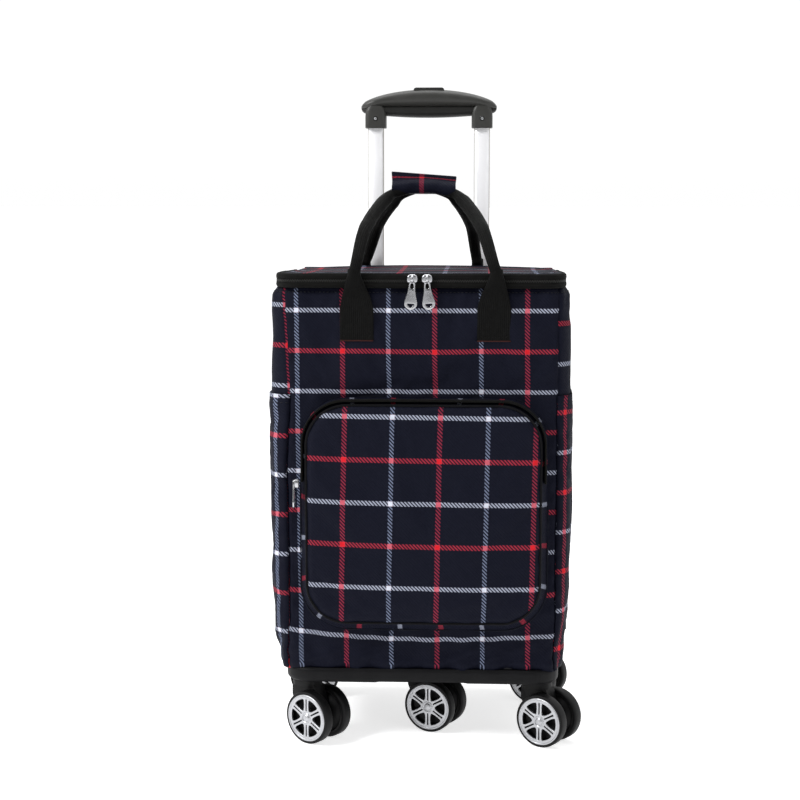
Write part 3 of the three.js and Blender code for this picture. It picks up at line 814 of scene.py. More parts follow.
def make_side_pocket(side):
    """A cloth panel over the lower side, sewn at its edges and slack along its hem."""
    sign = -1 if side == "left" else 1
    near, far = SEAM - 0.0004, SIDE_END - 0.002
    reach = [near + (far - near) * i / 60 for i in range(61)]
    columns = sorted(sign * d for d in reach)
    levels = [float(z) for z in spaced(0.0880, 0.36, 0.0046) + spaced(0.36, HEM_Z, 0.003) + [HEM_Z]]
    white = {"left": -0.1612, "right": 0.160 + WARP_PITCH / 2}[side]
    first = {"left": 0.3944, "right": 0.3330}[side]

    def stand(distance, z):
        share = (abs(distance) - near) / (far - near)
        arch = math.sin(math.pi * min(1.0, max(0.0, share))) ** 0.5
        slack = 0.0006 * arch * ease(0.10, 0.20, z)
        mouth = 0.0006 * arch * ease(0.34, HEM_Z, z) * ease(0.20, 0.26, abs(distance))
        return 0.0011 + slack + mouth + 0.0003 * wave((distance, 1, z), 0.03, 13)

    rows = [[bag_place(d, z, stand(d, z))[0] for d in columns] for z in levels]
    panel = grid_piece(f"side_pocket_{side}_cloth", rows,
                       lambda r, c, f: (columns[c] - white, levels[r] - first), PLAID, closed=False)
    tall, wide = len(levels), len(columns)
    edge = [r * wide + c for r in range(tall) for c in range(wide)
            if r < 2 or r > tall - 5 or c < 3 or c > wide - 4]
    settle(panel, edge, 0.010, 0.0005, 0.0022)
    thicken(panel, 0.0010, offset=1.0)
    finish_piece(panel, "frame", "plaid_fabric", f"side_pocket_{side}")
    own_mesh(panel)
    marks = []
    for a, b in zip(rows[-4], rows[-4][1:]):
        out = Vector((b.y - a.y, a.x - b.x, 0)).normalized()
        marks.append((a + out * 0.0012, a.lerp(b, 0.7) + out * 0.0012, out))
    stitches = stitch_marks(f"side_pocket_{side}_stitches", marks, THREAD)
    finish_piece(stitches, "frame", "black_webbing")
    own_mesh(stitches)


make_shell()
make_top_seam()
make_side_pocket("left")
make_side_pocket("right")

# ------------------------------------------------------------------ lid and zip

ROLL_OUT = 0.0022
ROLL_LOW = 0.5172
ROLL_HIGH = 0.5251
ZIP_END_Y = 0.080
ZIP_SHIFT = -0.0020


def zip_path(out=0.0):
    """The line of the zip: back to front along the left side, across, and back along the right."""
    half, radius = 0.1541 + out, CORNER_R
    front = BAG_FRONT + 0.0005 - out
    inner = half - radius

    def corner(x, start):
        return [Vector((x + radius * math.cos(a), front + radius + radius * math.sin(a), 0))
                for a in np.linspace(start, start + math.pi / 2, 11)[1:]]

    points = [Vector((-half, y, 0)) for y in np.linspace(ZIP_END_Y, front + radius, 30)]
    points += corner(-inner, math.pi)
    points += [Vector((x, front, 0)) for x in np.linspace(-inner, inner, 80)[1:]]
    points += corner(inner, 1.5 * math.pi)
    points += [Vector((half, y, 0)) for y in np.linspace(front + radius, ZIP_END_Y, 30)[1:]]
    return [p + Vector((ZIP_SHIFT, 0, 0)) for p in points]


def outward_of(path):
    """A path's outward direction at each of its places, for a path that turns left to right."""
    def side(i):
        ahead = path[min(i + 1, len(path) - 1)] - path[max(i - 1, 0)]
        return (ahead.y, -ahead.x, 0)
    return side


def make_roll(name, height, body, seed):
    """A rolled edge of zip tape that wavers a little up and down."""
    path = [p + Vector((0, 0, height + zip_drop(p.y) + 0.0005 * wave((p.x, p.y, 0), 0.05, seed)))
            for p in zip_path(ROLL_OUT)]
    section = superellipse(0.0034, 0.0041, 16, 2.4)
    roll = sweep(name, path, lambda share: section, outward_of(path), ZIP_TAPE)
    finish_piece(roll, body, "black_webbing")
    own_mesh(roll)


TOOTH_PITCH = 0.0026
BOX_FACES = ((0, 1, 3, 2), (4, 6, 7, 5), (0, 4, 5, 1), (2, 3, 7, 6), (0, 2, 6, 4), (1, 5, 7, 3))


def make_teeth(name, height, body, step):
    """A row of zip teeth on one side of the zip."""
    path = zip_path(0.0040)
    run = lengths(path)
    side = outward_of(path)
    points, faces = [], []
    for k in range(int(run[-1] / TOOTH_PITCH)):
        at = (k + step) * TOOTH_PITCH
        i = int(np.searchsorted(run, at))
        if i <= 0 or i >= len(path):
            continue
        t = (at - run[i - 1]) / (run[i] - run[i - 1])
        centre = path[i - 1].lerp(path[i], t)
        centre.z = height + zip_drop(centre.y)
        out = Vector(side(i)).normalized()
        ahead = (path[i] - path[i - 1]).normalized()
        base = len(points)
        for a in (-0.0007, 0.0007):
            for b in (-0.0010, 0.0010):
                for c in (-0.0009, 0.0009):
                    points.append(centre + ahead * a + out * b + Vector((0, 0, c)))
        faces += [tuple(base + n for n in quad) for quad in BOX_FACES]
    teeth = mesh_piece(name, points, faces, DARK_METAL)
    finish_piece(teeth, body, "zip_metal")
    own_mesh(teeth)


LID_TOP = 0.5296


def make_lid():
    """The lid's cloth: nearly flat, lower towards its sides at the back, and tucked down along the zip."""
    half, front, back = 0.1562, BAG_FRONT - 0.0026, LID_BACK + 0.003
    total = perimeter(half, front, back, CORNER_R)
    outline = [outline_place(total * (i / 160 - 0.5), half, front, back, CORNER_R)[0] for i in range(160)]
    centre = Vector((0, (front + back) / 2, 0))
    shares = [1.0, 0.995, 0.985, 0.97, 0.95, 0.92, 0.88] + [float(s) for s in np.linspace(0.82, 0.06, 16)]
    rows = []
    for share in shares:
        row = []
        for x, y in outline:
            p = centre.lerp(Vector((x, y, 0)), share)
            side_drop = 0.0036 * (abs(p.x) / half) ** 2 * ease(-0.10, 0.06, p.y)
            p.z = LID_TOP - side_drop - 0.0030 * ease(0.955, 1.0, share)
            p.z += 0.0009 * wave((p.x, p.y, 0), 0.06, 21) * (1 - share ** 6)
            row.append(p)
        rows.append(row)

    def uv_of(r, c, f):
        p = rows[r][c % len(outline)]
        return (p.x - WHITE_ACROSS["front"] + 0.04, -p.y - 0.062)

    lid = grid_piece("lid_cloth", rows, uv_of, PLAID)
    fill_middle(lid, lambda p: p.xy.length < 0.05)
    face_toward(lid, (0, 0, 1))
    settle(lid, range(5 * len(outline)), 0.004, 0.0014, 0.0012)
    thicken(lid, 0.0016)
    finish_piece(lid, "lid", "plaid_fabric", "lid")
    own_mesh(lid)


def make_back_strip():
    """The fixed strip of cloth behind the lid, from the lid's hinge to the back wall."""
    profile = [(LID_BACK + 0.0038, 0.5262), (LID_BACK + 0.007, 0.5272), (BAG_BACK - 0.004, 0.5250),
               (BAG_BACK - 0.0012, 0.5190), (BAG_BACK - 0.0006, 0.5060)]
    across = [float(x) for x in np.linspace(-0.150, 0.150, 60)]
    rows = [[Vector((x, y, z + 0.0005 * wave((x, y, z), 0.03, 4))) for x in across]
            for y, z in profile]
    strip = grid_piece("bag_back_strip", rows, lambda r, c, f: (across[c], 0.02 * r), PLAID,
                       closed=False)
    thicken(strip, 0.0012, levels=1)
    finish_piece(strip, "frame", "plaid_fabric")
    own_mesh(strip)


make_roll("zip_roll_lower", ROLL_LOW, "frame", 31)
make_roll("zip_roll_upper", ROLL_HIGH, "lid", 37)
make_teeth("zip_teeth_lower", 0.5205, "frame", 0.25)
make_teeth("zip_teeth_upper", 0.5217, "lid", 0.75)
make_lid()
make_back_strip()

# ------------------------------------------------------------------ front pocket

FACE = {"half": 0.1274, "low": 0.1462, "high": 0.3866, "radius": 0.044}
BASE = {"half": 0.1360, "low": 0.1330, "high": 0.3935, "radius": 0.050}
POCKET_X = 0.0025


def rounded(half, low, high, radius):
    """Points of a rounded rectangle in X and Z, from the middle of its top, turning left."""
    per_corner, per_side = 14, 26
    inner_x, top, bottom = half - radius, high - radius, low + radius
    points = []

    def line(a, b, steps):
        for i in range(steps):
            points.append((a[0] + (b[0] - a[0]) * i / steps, a[1] + (b[1] - a[1]) * i / steps))

    def bend(x, z, start):
        for i in range(per_corner):
            angle = math.radians(start + 90 * i / per_corner)
            points.append((x + radius * math.cos(angle), z + radius * math.sin(angle)))

    line((0, high), (-inner_x, high), per_side // 2)
    bend(-inner_x, top, 90)
    line((-half, top), (-half, bottom), per_side)
    bend(-inner_x, bottom, 180)
    line((-inner_x, low), (inner_x, low), per_side)
    bend(inner_x, bottom, 270)
    line((half, bottom), (half, top), per_side)
    bend(inner_x, top, 0)
    line((inner_x, high), (0, high), per_side // 2)
    return [(x + POCKET_X, z) for x, z in points]


def pocket_depth(x, z):
    """The pocket's front at one place: a soft cushion, nearly flat but for its edges."""
    u = (x - POCKET_X) / FACE["half"]
    v = (z - FACE["low"]) / (FACE["high"] - FACE["low"]) * 2 - 1
    crown = (1 - abs(u) ** 3.2) * (1 - abs(v) ** 3.4)
    out = POCKET_FRONT + 0.0042 - 0.0066 * max(0.0, crown) ** 0.7
    out -= 0.0016 * wave((x, 0, z), 0.075, 41) + 0.0006 * wave((x, 0, z), 0.03, 43)
    return out


def pocket_cloth(x, z):
    """The cloth's own coordinates on the pocket's face, where the pattern leans and is closer."""
    across = (x + 0.0308 + 0.020 * (0.3749 - z)) * WARP_PITCH / 0.1040
    along = (z - 0.3749 + 0.0125 * (x - 0.003)) * WEFT_PITCH / 0.0937
    return (across, along)


def make_pocket_face():
    """The pocket's front cloth, puckered and tucked in along its piping."""
    outline = rounded(**FACE)
    centre = (POCKET_X, (FACE["low"] + FACE["high"]) / 2)
    shares = [1.0, 0.988, 0.972, 0.952, 0.928, 0.90] + [float(s) for s in np.linspace(0.86, 0.04, 24)]
    rows = []
    for share in shares:
        row = []
        for i, (x, z) in enumerate(outline):
            px, pz = centre[0] + (x - centre[0]) * share, centre[1] + (z - centre[1]) * share
            tuck = 0.0030 * ease(0.955, 1.0, share)
            pucker = 0.0005 * ease(0.86, 0.96, share) * math.sin(i * 0.9 + 4 * wave((x, 0, z), 0.03, 5))
            row.append(Vector((px, pocket_depth(px, pz) + tuck + pucker, pz)))
        rows.append(row)
    count = len(outline)

    def uv_of(r, c, f):
        p = rows[r][c % count]
        return pocket_cloth(p.x, p.z)

    face = grid_piece("pocket_face", rows, uv_of, PLAID)
    fill_middle(face, lambda p: abs(p.x) < 0.04 and abs(p.z - centre[1]) < 0.03)
    face_toward(face, (0, -1, 0))
    settle(face, range(5 * count), 0.006, 0.0022, 0.0018)
    thicken(face, 0.0012)
    finish_piece(face, "front", "plaid_fabric", "front_pocket")
    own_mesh(face)


WALL_TUCK = 0.0030
WALL_MIDDLE = 0.26


def wall_ring(share, back):
    """Places round the pocket's side wall, at a share of the way from its face to the depth back,
    each with its outward direction."""
    ring = []
    for a, b in zip(rounded(**FACE), rounded(**BASE)):
        x, z = a[0] + (b[0] - a[0]) * share, a[1] + (b[1] - a[1]) * share
        edge = pocket_depth(*a) + WALL_TUCK
        out = Vector((x - POCKET_X, 0, z - WALL_MIDDLE)).normalized()
        ring.append((Vector((x, edge + (back - edge) * share, z)), out))
    return ring


def make_pocket_gusset():
    """The side wall of the pocket, from its face back to the bag, a little wider at the back."""
    shares = [float(s) for s in np.linspace(0, 1, 9)]
    rows = []
    for share in shares:
        belly = 0.0008 * math.sin(math.pi * share)
        rows.append([p + out * belly * (1 + 0.6 * wave((p.x, 0, p.z), 0.03, 51))
                     for p, out in wall_ring(share, BAG_FRONT + 0.0005)])
    front_line = [Vector((x, 0, z)) for x, z in rounded(**FACE)]
    run = lengths(front_line + front_line[:1])

    def uv_of(r, c, f):
        return (0.031 * shares[r] + 0.012, run[c] + 0.012)

    gusset = grid_piece("pocket_gusset", rows, uv_of, PLAID)
    face_toward(gusset, (0, 0, 1))
    thicken(gusset, 0.0010)
    finish_piece(gusset, "front", "plaid_fabric")
    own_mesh(gusset)


def pocket_line(grow, share, low=None):
    """A line round the pocket's side wall, grown outward. With low, only the part above it."""
    line = [p + out * grow for p, out in wall_ring(share, BAG_FRONT)]
    if low is None:
        return line + line[:1]
    half = len(line) // 2
    left = [p for p in line[:half] if p.z > low]
    right = [p for p in line[half:] if p.z > low]
    return right + left


def make_pocket_trims():
    """The piping round the pocket's face, its zip tape, and the seam that joins it to the bag."""
    depthwise = (0, 1, 0)
    trim = strand("pocket_piping", pocket_line(0.0006, 0.0), superellipse(0.0014, 0.0014, 10),
                  depthwise, PIPING, cap=False)
    finish_piece(trim, "front", "black_webbing")
    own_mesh(trim)
    tape = strand("pocket_zip_tape", pocket_line(0.0030, 0.34, low=0.300),
                  superellipse(0.0070, 0.0012, 14, 4), depthwise, ZIP_TAPE)
    finish_piece(tape, "front", "black_webbing")
    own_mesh(tape)
    seam = strand("pocket_back_seam", pocket_line(0.0008, 0.985), superellipse(0.0008, 0.0010, 8),
                  depthwise, NAVY_TRIM, cap=False)
    finish_piece(seam, "front", "black_webbing")
    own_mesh(seam)


def plate(name, outline, depth, matrix, material, bevel=0.0003, holes=()):
    """A flat plate with rounded edges, from an outline in its own X and Y, placed by a matrix."""
    curve = bpy.data.curves.new(name, "CURVE")
    curve.dimensions = "2D"
    curve.fill_mode = "BOTH"
    curve.extrude = max(0.0, depth / 2 - bevel)
    curve.bevel_depth = bevel
    curve.bevel_resolution = 2
    curve.offset = -bevel
    for ring in (outline, *holes):
        spline = curve.splines.new("POLY")
        spline.points.add(len(ring) - 1)
        for point, (x, y) in zip(spline.points, ring):
            point.co = (x, y, 0, 1)
        spline.use_cyclic_u = True
    holder = bpy.data.objects.new(name, curve)
    bpy.context.scene.collection.objects.link(holder)
    bpy.context.view_layer.update()
    graph = bpy.context.evaluated_depsgraph_get()
    mesh = bpy.data.meshes.new_from_object(holder.evaluated_get(graph))
    bpy.data.objects.remove(holder)
    mesh.materials.clear()
    mesh.transform(matrix)
    mesh.uv_layers.new(name="cloth")
    obj = new_object(name, mesh, material)
    clean_mesh(mesh)
    mesh.polygons.foreach_set("use_smooth", [True] * len(mesh.polygons))
    mesh.set_sharp_from_angle(angle=math.radians(35))
    return obj


FACING_FRONT = Matrix.Rotation(math.pi / 2, 4, "X")


def make_pocket_slider():
    """The pocket's zip slider and its pull, which hang at the left end of its zip."""
    at = Vector((-0.1362, POCKET_FRONT + 0.012, 0.300))
    body = superellipse(0.0036, 0.0050, 20, 3.2)
    turn = Matrix.Rotation(-math.pi / 2, 4, "Z")
    slider = plate("pocket_slider", body, 0.0046, Matrix.Translation(at) @ turn @ FACING_FRONT,
                   ZIP_METAL, 0.0008)
    finish_piece(slider, "front", "zip_metal")
    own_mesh(slider)
    beside = at + Vector((-0.0032, 0, 0.002))
    pull = pull_plate("pocket_pull", Matrix.Translation(beside) @ turn @ FACING_FRONT)
    finish_piece(pull, "front", "zip_metal")
    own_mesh(pull)


def circle(radius, count):
    turns = [2 * math.pi * i / count for i in range(count)]
    return [(radius * math.cos(angle), radius * math.sin(angle)) for angle in turns]


def smooth_ring(points, rounds=3):
    """An outline with its corners cut round."""
    for _ in range(rounds):
        cut = []
        for (ax, ay), (bx, by) in zip(points, points[1:] + points[:1]):
            cut += [(ax * a + bx * (1 - a), ay * a + by * (1 - a)) for a in (0.75, 0.25)]
        points = cut
    return points


PULL_OUTLINE = [
    (-0.0032, 0.0022), (0.0032, 0.0022), (0.0037, -0.0090), (0.0053, -0.0150), (0.0078, -0.0255),
    (0.0020, -0.0300), (-0.0020, -0.0300), (-0.0078, -0.0255), (-0.0053, -0.0150), (-0.0037, -0.0090),
]
PULL_WINDOW = [(-0.0017, -0.0010), (0.0017, -0.0010), (0.0021, -0.0072), (-0.0021, -0.0072)]
PULL_ARROW = [
    (-0.0036, -0.0232), (0.0036, -0.0232), (0.0036, -0.0246),
    (0.0004, -0.0274), (-0.0004, -0.0274), (-0.0036, -0.0246),
]


def pull_plate(name, matrix):
    """A zip pull that hangs 30 mm below its ring, with a window above and a plain arrow hole below."""
    outline = smooth_ring(PULL_OUTLINE, 2)
    window = smooth_ring(PULL_WINDOW)
    return plate(name, outline, 0.0017, matrix, ZIP_METAL, 0.0004, holes=(window, PULL_ARROW))


SLIDER_Z = 0.5236
SWING_Z = 0.5200
SLIDER_OUTLINE = [(-0.0052, -0.0046), (0.0052, -0.0046), (0.0062, 0.0), (0.0044, 0.0050),
                  (-0.0044, 0.0050), (-0.0062, 0.0)]


def make_zip_sliders():
    """The two sliders that meet at the front of the lid, each with a bridge and a pull."""
    for side, x, lean in (("left", -0.0102, 4), ("right", 0.0058, -5)):
        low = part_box(f"zip_slider_{side}")[0]
        middle = Vector((x, low.y + 0.0010, SLIDER_Z))
        slider = plate(f"zip_slider_{side}_body", smooth_ring(SLIDER_OUTLINE), 0.0046,
                       Matrix.Translation(middle) @ FACING_FRONT, ZIP_METAL, 0.0014)
        finish_piece(slider, f"zip_{side}", "zip_metal", f"zip_slider_{side}")
        arch = [(-0.0010, 0.0038), (-0.0036, 0.0020), (-0.0038, -0.0018), (-0.0010, -0.0040)]
        bridge = strand(f"zip_bridge_{side}", catmull([(x, low.y + y, middle.z + z) for y, z in arch], 6),
                        superellipse(0.0013, 0.0008, 10, 2.6), (1, 0, 0), ZIP_METAL)
        finish_piece(bridge, f"zip_{side}", "zip_metal")
        swing = Vector((x, JOINTS[f"pull_{side}_swing"]["pos_m"][1] - 0.0002, SWING_Z))
        tilt = Matrix.Rotation(math.radians(lean), 4, "Y")
        pull = pull_plate(f"zip_pull_{side}_plate", Matrix.Translation(swing) @ tilt @ FACING_FRONT)
        finish_piece(pull, f"pull_{side}", "zip_metal", f"zip_pull_{side}")


make_pocket_face()
make_pocket_gusset()
make_pocket_trims()
make_pocket_slider()
make_zip_sliders()

# ------------------------------------------------------------------ carry straps

ROLL_R = 0.0076
TAB_SHIFT = 0.0038
TAB_X = 0.0748
NECK_X = 0.0770
REAR_HALF = 0.0680
REAR_LEAN = -0.0085
# Height and half width of a tab, from its foot up to where it has rolled up.
TAB_WIDTHS = [(TAB_BOTTOM, 0.0184), (0.4920, 0.0184), (0.5045, 0.0153), (0.5167, 0.0108),
              (0.5290, 0.0070)]


def make_tab(name, sign, path, body, shift):
    """Flat webbing that is sewn down, then narrows and rolls up into the carry loop."""
    places = []
    for y, z in path:
        from_middle = TAB_X + (NECK_X - TAB_X) * ease(0.49, 0.525, z)
        places.append((sign * from_middle + shift, y, z))
    line = catmull(places, 8)
    heights = [p.z for p in line]
    run = lengths(line)

    def section(share):
        z = float(np.interp(share * run[-1], run, heights))
        half = float(np.interp(z, *zip(*TAB_WIDTHS)))
        rolled = ease(0.500, 0.531, z)
        return superellipse(half, 0.0011 + (ROLL_R - 0.0018) * rolled, 28, 5 - 3 * rolled)

    tab = sweep(name, line, section, lambda i: (1, 0, 0), WEBBING)
    return finish_piece(tab, body, "black_webbing")


def marks_along(lines, y):
    """Stitches along straight lines in X and Z that face the front."""
    marks = []
    for (ax, az), (bx, bz) in lines:
        count = max(1, int(math.dist((ax, az), (bx, bz)) / 0.0034))
        a, b = Vector((ax, y, az)), Vector((bx, y, bz))
        marks += [(a.lerp(b, (k + 0.15) / count), a.lerp(b, (k + 0.85) / count), Vector((0, -1, 0)))
                  for k in range(count)]
    return marks


def make_front_tabs():
    """The two front tabs, each with a sewn box and cross and a bound lower end."""
    path = [(-0.1064, TAB_BOTTOM), (-0.1066, 0.470), (-0.1070, 0.488), (-0.1082, 0.500),
            (-0.1108, 0.511), (-0.1128, 0.520), (FRONT_ROOT.y - 0.0006, 0.528), (FRONT_ROOT.y, 0.534)]
    for side, sign in (("left", -1), ("right", 1)):
        tab = make_tab(f"front_tab_{side}_webbing", sign, path, "front", TAB_SHIFT)
        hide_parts(f"front_tab_{side}")
        x, low, high = sign * TAB_X + TAB_SHIFT, TAB_BOTTOM + 0.004, TAB_BOTTOM + 0.033
        left, right = x - 0.0150, x + 0.0150
        corners = [(left, low), (right, low), (right, high), (left, high)]
        lines = list(zip(corners, corners[1:] + corners[:1]))
        lines += [(corners[0], corners[2]), (corners[1], corners[3])]
        stitches = stitch_marks(f"front_tab_{side}_stitches", marks_along(lines, -0.1074), THREAD)
        finish_piece(stitches, "front", "black_webbing")
        edge = [Vector((x + a, -0.1066, TAB_BOTTOM)) for a in np.linspace(-0.0182, 0.0182, 8)]
        binding = strand(f"front_tab_{side}_end", edge, superellipse(0.0009, 0.0012, 10), (0, 0, 1),
                         BINDING)
        finish_piece(binding, "front", "black_webbing")


def make_rear_tabs():
    """The two rear tabs, which roll up closer together than the front ones and off centre."""
    path = [(BAG_BACK + 0.0012, TAB_BOTTOM), (BAG_BACK + 0.0012, 0.490), (BAG_BACK + 0.0010, 0.508),
            (BAG_BACK - 0.0015, 0.520), (REAR_ROOT.y + 0.0020, 0.529), (REAR_ROOT.y, 0.536)]
    for side, sign in (("left", -1), ("right", 1)):
        shift = REAR_LEAN - sign * (NECK_X - REAR_HALF)
        make_tab(f"rear_tab_{side}_webbing", sign, path, "frame", shift)


LOOP_TOP = 0.6221
# How far in, how far over the lid and how high the strap is, for a loop of this height.
LOOP_SIDE = [(0, 0.0, 0.000), (0.0035, 0.02, 0.013), (0.0105, 0.22, 0.041), (0.0165, 0.43, 0.0545),
             (0.0245, 0.66, 0.0670), (0.0335, 0.86, 0.0780), (0.0450, 0.97, 0.0860)]
LOOP_HEIGHT = 0.0921


def loop_path(half, root, top_y, shift):
    """The rolled strap's line: up from the root, leaning over the lid, and across the middle.
    The shift to one side fades out on the way up."""
    top = LOOP_TOP - root.z
    points = []
    for inward, share, rise in LOOP_SIDE:
        if shift > 0:
            offset = shift * max(-0.5, 1 - 1.5 * rise / top)
        else:
            offset = shift * max(0.0, 1 - 1.15 * rise / top)
        points.append((half - inward, root.y + (top_y - root.y) * share,
                       root.z + rise * top / LOOP_HEIGHT, offset))
    points.append((0.0, top_y, LOOP_TOP, -shift / 2 if shift > 0 else 0.0))
    points += [(-x, y, z, offset) for x, y, z, offset in reversed(points[:-1])]
    return catmull([(x + offset, y, z) for x, y, z, offset in points], 10)


def make_loop(body, half, root, top_y, shift):
    """A carry loop of rolled webbing with a groove along it, slimmer where it is gripped."""
    def section(share):
        near_end = 1 - ease(0.0, 0.12, min(share, 1 - share))
        near_middle = 1 - ease(0.10, 0.145, abs(share - 0.5))
        slim = 1 - 0.10 * near_end - 0.25 * near_middle
        ring = superellipse(ROLL_R * slim, (ROLL_R - 0.0004) * slim, 26, 2.3)
        groove = [1 - 0.10 * math.exp(-((i - 6) / 1.4) ** 2) for i in range(len(ring))]
        return [(a * g, b * g) for (a, b), g in zip(ring, groove)]

    line = loop_path(half, root, top_y, shift)
    loop = sweep(f"{body}_strap", line, section, lambda i: (0, 1, 0.3), WEBBING)
    finish_piece(loop, body, "black_webbing", body)
    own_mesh(loop)


WRAP_REACH = 0.0360
WRAP_X = -0.0015
# One half of the wrap's section, as (depth, height): round the straps, then up the seam.
WRAP_HALF = [
    (0.0, -0.0078), (0.0060, -0.0079), (0.0110, -0.0072), (0.0148, -0.0044), (0.0160, 0.0),
    (0.0148, 0.0040), (0.0110, 0.0070), (0.0060, 0.0084), (0.0034, 0.0095), (0.0026, 0.0115),
    (0.0024, 0.0136), (0.0016, 0.0146),
]


def make_wrap():
    """The plaid wrap: cloth folded round both straps and closed above them in a flat seam."""
    profile = WRAP_HALF + [(-y, z) for y, z in reversed(WRAP_HALF[1:])]
    line = catmull([(0, y, z) for y, z in profile + profile[:1]], 3)[:-1]
    along = [float(x) for x in np.linspace(-WRAP_REACH, WRAP_REACH, 40)]
    rows = []
    for x in along:
        share = x / WRAP_REACH
        centre = 0.6226 - 0.0030 * share ** 2 - 0.0006 * share
        row = []
        for p in line:
            fin = ease(0.0060, 0.0140, p.z)
            tilt = fin * (-0.0022 * share + 0.0030 * share ** 2)
            fold = 0.0011 * (1 - fin) * wave((x, p.y, p.z), 0.016, 61)
            flare = (1 + 0.07 * abs(share) ** 5) * (1 + 0.05 * math.sin(9 * share))
            row.append(Vector((x + WRAP_X + 0.0010 * fin * share, p.y * flare + fold,
                               centre + p.z + tilt + fold)))
        rows.append(row)
    run = lengths(line + line[:1])
    middle = run[-1] / 2

    def uv_of(r, c, f):
        from_line = middle - run[c] + 0.0062
        stripe = 3.6 * max(-0.003, min(0.003, from_line))
        return (along[r] - WARP_PITCH / 2 + 0.0023, from_line + stripe + WEFT_PITCH / 2)

    wrap = grid_piece("grip_wrap_cloth", rows, uv_of, PLAID)
    clean_mesh(wrap.data)
    thicken(wrap, 0.0013, levels=1)
    finish_piece(wrap, "front_loop", "plaid_fabric", "grip_wrap")
    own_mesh(wrap)


make_front_tabs()
make_rear_tabs()
make_loop("front_loop", NECK_X, FRONT_ROOT, -0.0075, TAB_SHIFT)
make_loop("rear_loop", REAR_HALF, REAR_ROOT, 0.0075, REAR_LEAN)
make_wrap()

# ------------------------------------------------------------------ handle, back and tray

for node in ("inner_tube_left", "inner_tube_right", "outer_tube_left", "outer_tube_right"):
    refine(node, TUBE, 0.0004, 2, 50)
refine("release_button", BUTTON_PLASTIC, 0.0012, 3, 45)
refine("tube_clamp", TRAY_PLASTIC, 0.0012, 3)
refine("hinge_beam", TRAY_PLASTIC, 0.0012, 3)
refine("back_board", BOARD, 0.0006, 2)
refine("floor_board", BOARD, 0.0004, 2)
refine("base_tray", TRAY_PLASTIC, 0.0007, 2, 45)
refine("hinge_pin", STEEL, 0.0005, 2, 50)


GRIP_HALF = 0.0816
GRIP_RIDGE = 0.7215
GRIP_Y = (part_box("grip_cover")[0].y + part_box("grip_cover")[1].y) / 2


def grip_rows(low_at, high_at, deep_at, power):
    """Sections across the grip, closer together towards its round ends."""
    steps = 72
    rows = []
    for k in range(steps + 1):
        x = GRIP_HALF * math.sin((k / steps - 0.5) * math.pi)
        low, high = low_at(x), high_at(x)
        middle, half = (low + high) / 2, max(0.0002, (high - low) / 2)
        section = superellipse(deep_at(x), half, 28, power)
        rows.append([Vector((x, GRIP_Y + a, middle + b)) for a, b in section])
    return rows


def end_round(x, reach=0.010):
    """1 along the grip and 0 at its tips, with a quarter circle between."""
    away = max(0.0, abs(x) - (GRIP_HALF - reach)) / reach
    return math.sqrt(max(0.0, 1 - min(1.0, away) ** 2))


def make_grip():
    """The domed cover, the belly under it in the same grey plastic painted darker as shade, and the two
    sockets for the tubes.
    """
    def top(x):
        crown = math.sqrt(max(0.0, 1 - (x / (GRIP_HALF * 1.03)) ** 2)) ** 1.25
        return GRIP_RIDGE - 0.0035 + 0.0212 * crown * (1 - (1 - end_round(x, 0.0065)) * 0.8)

    def ridge(x):
        return GRIP_RIDGE - 0.0035 * ease(0.050, GRIP_HALF, abs(x))

    def under(x):
        return ridge(x) - 0.0036 * end_round(x)

    def cover_depth(x):
        return 0.0136 * (0.12 + 0.88 * end_round(x, 0.02))

    cover = grid_piece("grip_cover_shell", grip_rows(under, top, cover_depth, 2.5), no_weave,
                       GRIP_PLASTIC, cap=True)
    finish_piece(cover, "handle", "grey_plastic", "grip_cover")

    def bottom(x):
        if abs(x) < 0.052:
            return 0.7055 + 0.0020 * (x / 0.05) ** 2
        return 0.7077 + 0.0030 * ease(0.060, 0.076, abs(x)) + 0.0065 * (1 - end_round(x, 0.0060))

    def seam(x):
        return ridge(x) - 0.0004

    def belly_depth(x):
        return 0.0102 * (0.15 + 0.85 * end_round(x, 0.016))

    # the belly's darker colour is painted shade on the grip's grey plastic
    belly = grid_piece("grip_belly", grip_rows(bottom, seam, belly_depth, 2.2), no_weave,
                       PAINTED_SHADE_BELLY_PLASTIC, cap=True)
    finish_piece(belly, "handle", "grey_plastic", "grip_lower")
    socket_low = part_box("grip_lower")[0].z
    for side in ("left", "right"):
        low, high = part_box(f"inner_tube_{side}")
        x = (low.x + high.x) / 2
        heights = [(socket_low, 0.0122, 0.0118), (socket_low + 0.0006, 0.0127, 0.0124),
                   (0.7060, 0.0127, 0.0128), (0.7120, 0.0124, 0.0130), (0.7165, 0.0112, 0.0128),
                   (0.7195, 0.0085, 0.0120)]
        rows = [[Vector((x + a, GRIP_Y + b, z)) for a, b in superellipse(wide, deep, 40, 5)]
                for z, wide, deep in heights]
        socket = grid_piece(f"grip_socket_{side}", rows, no_weave, GRIP_PLASTIC, cap=True)
        socket.data.set_sharp_from_angle(angle=math.radians(40))
        finish_piece(socket, "handle", "grey_plastic")


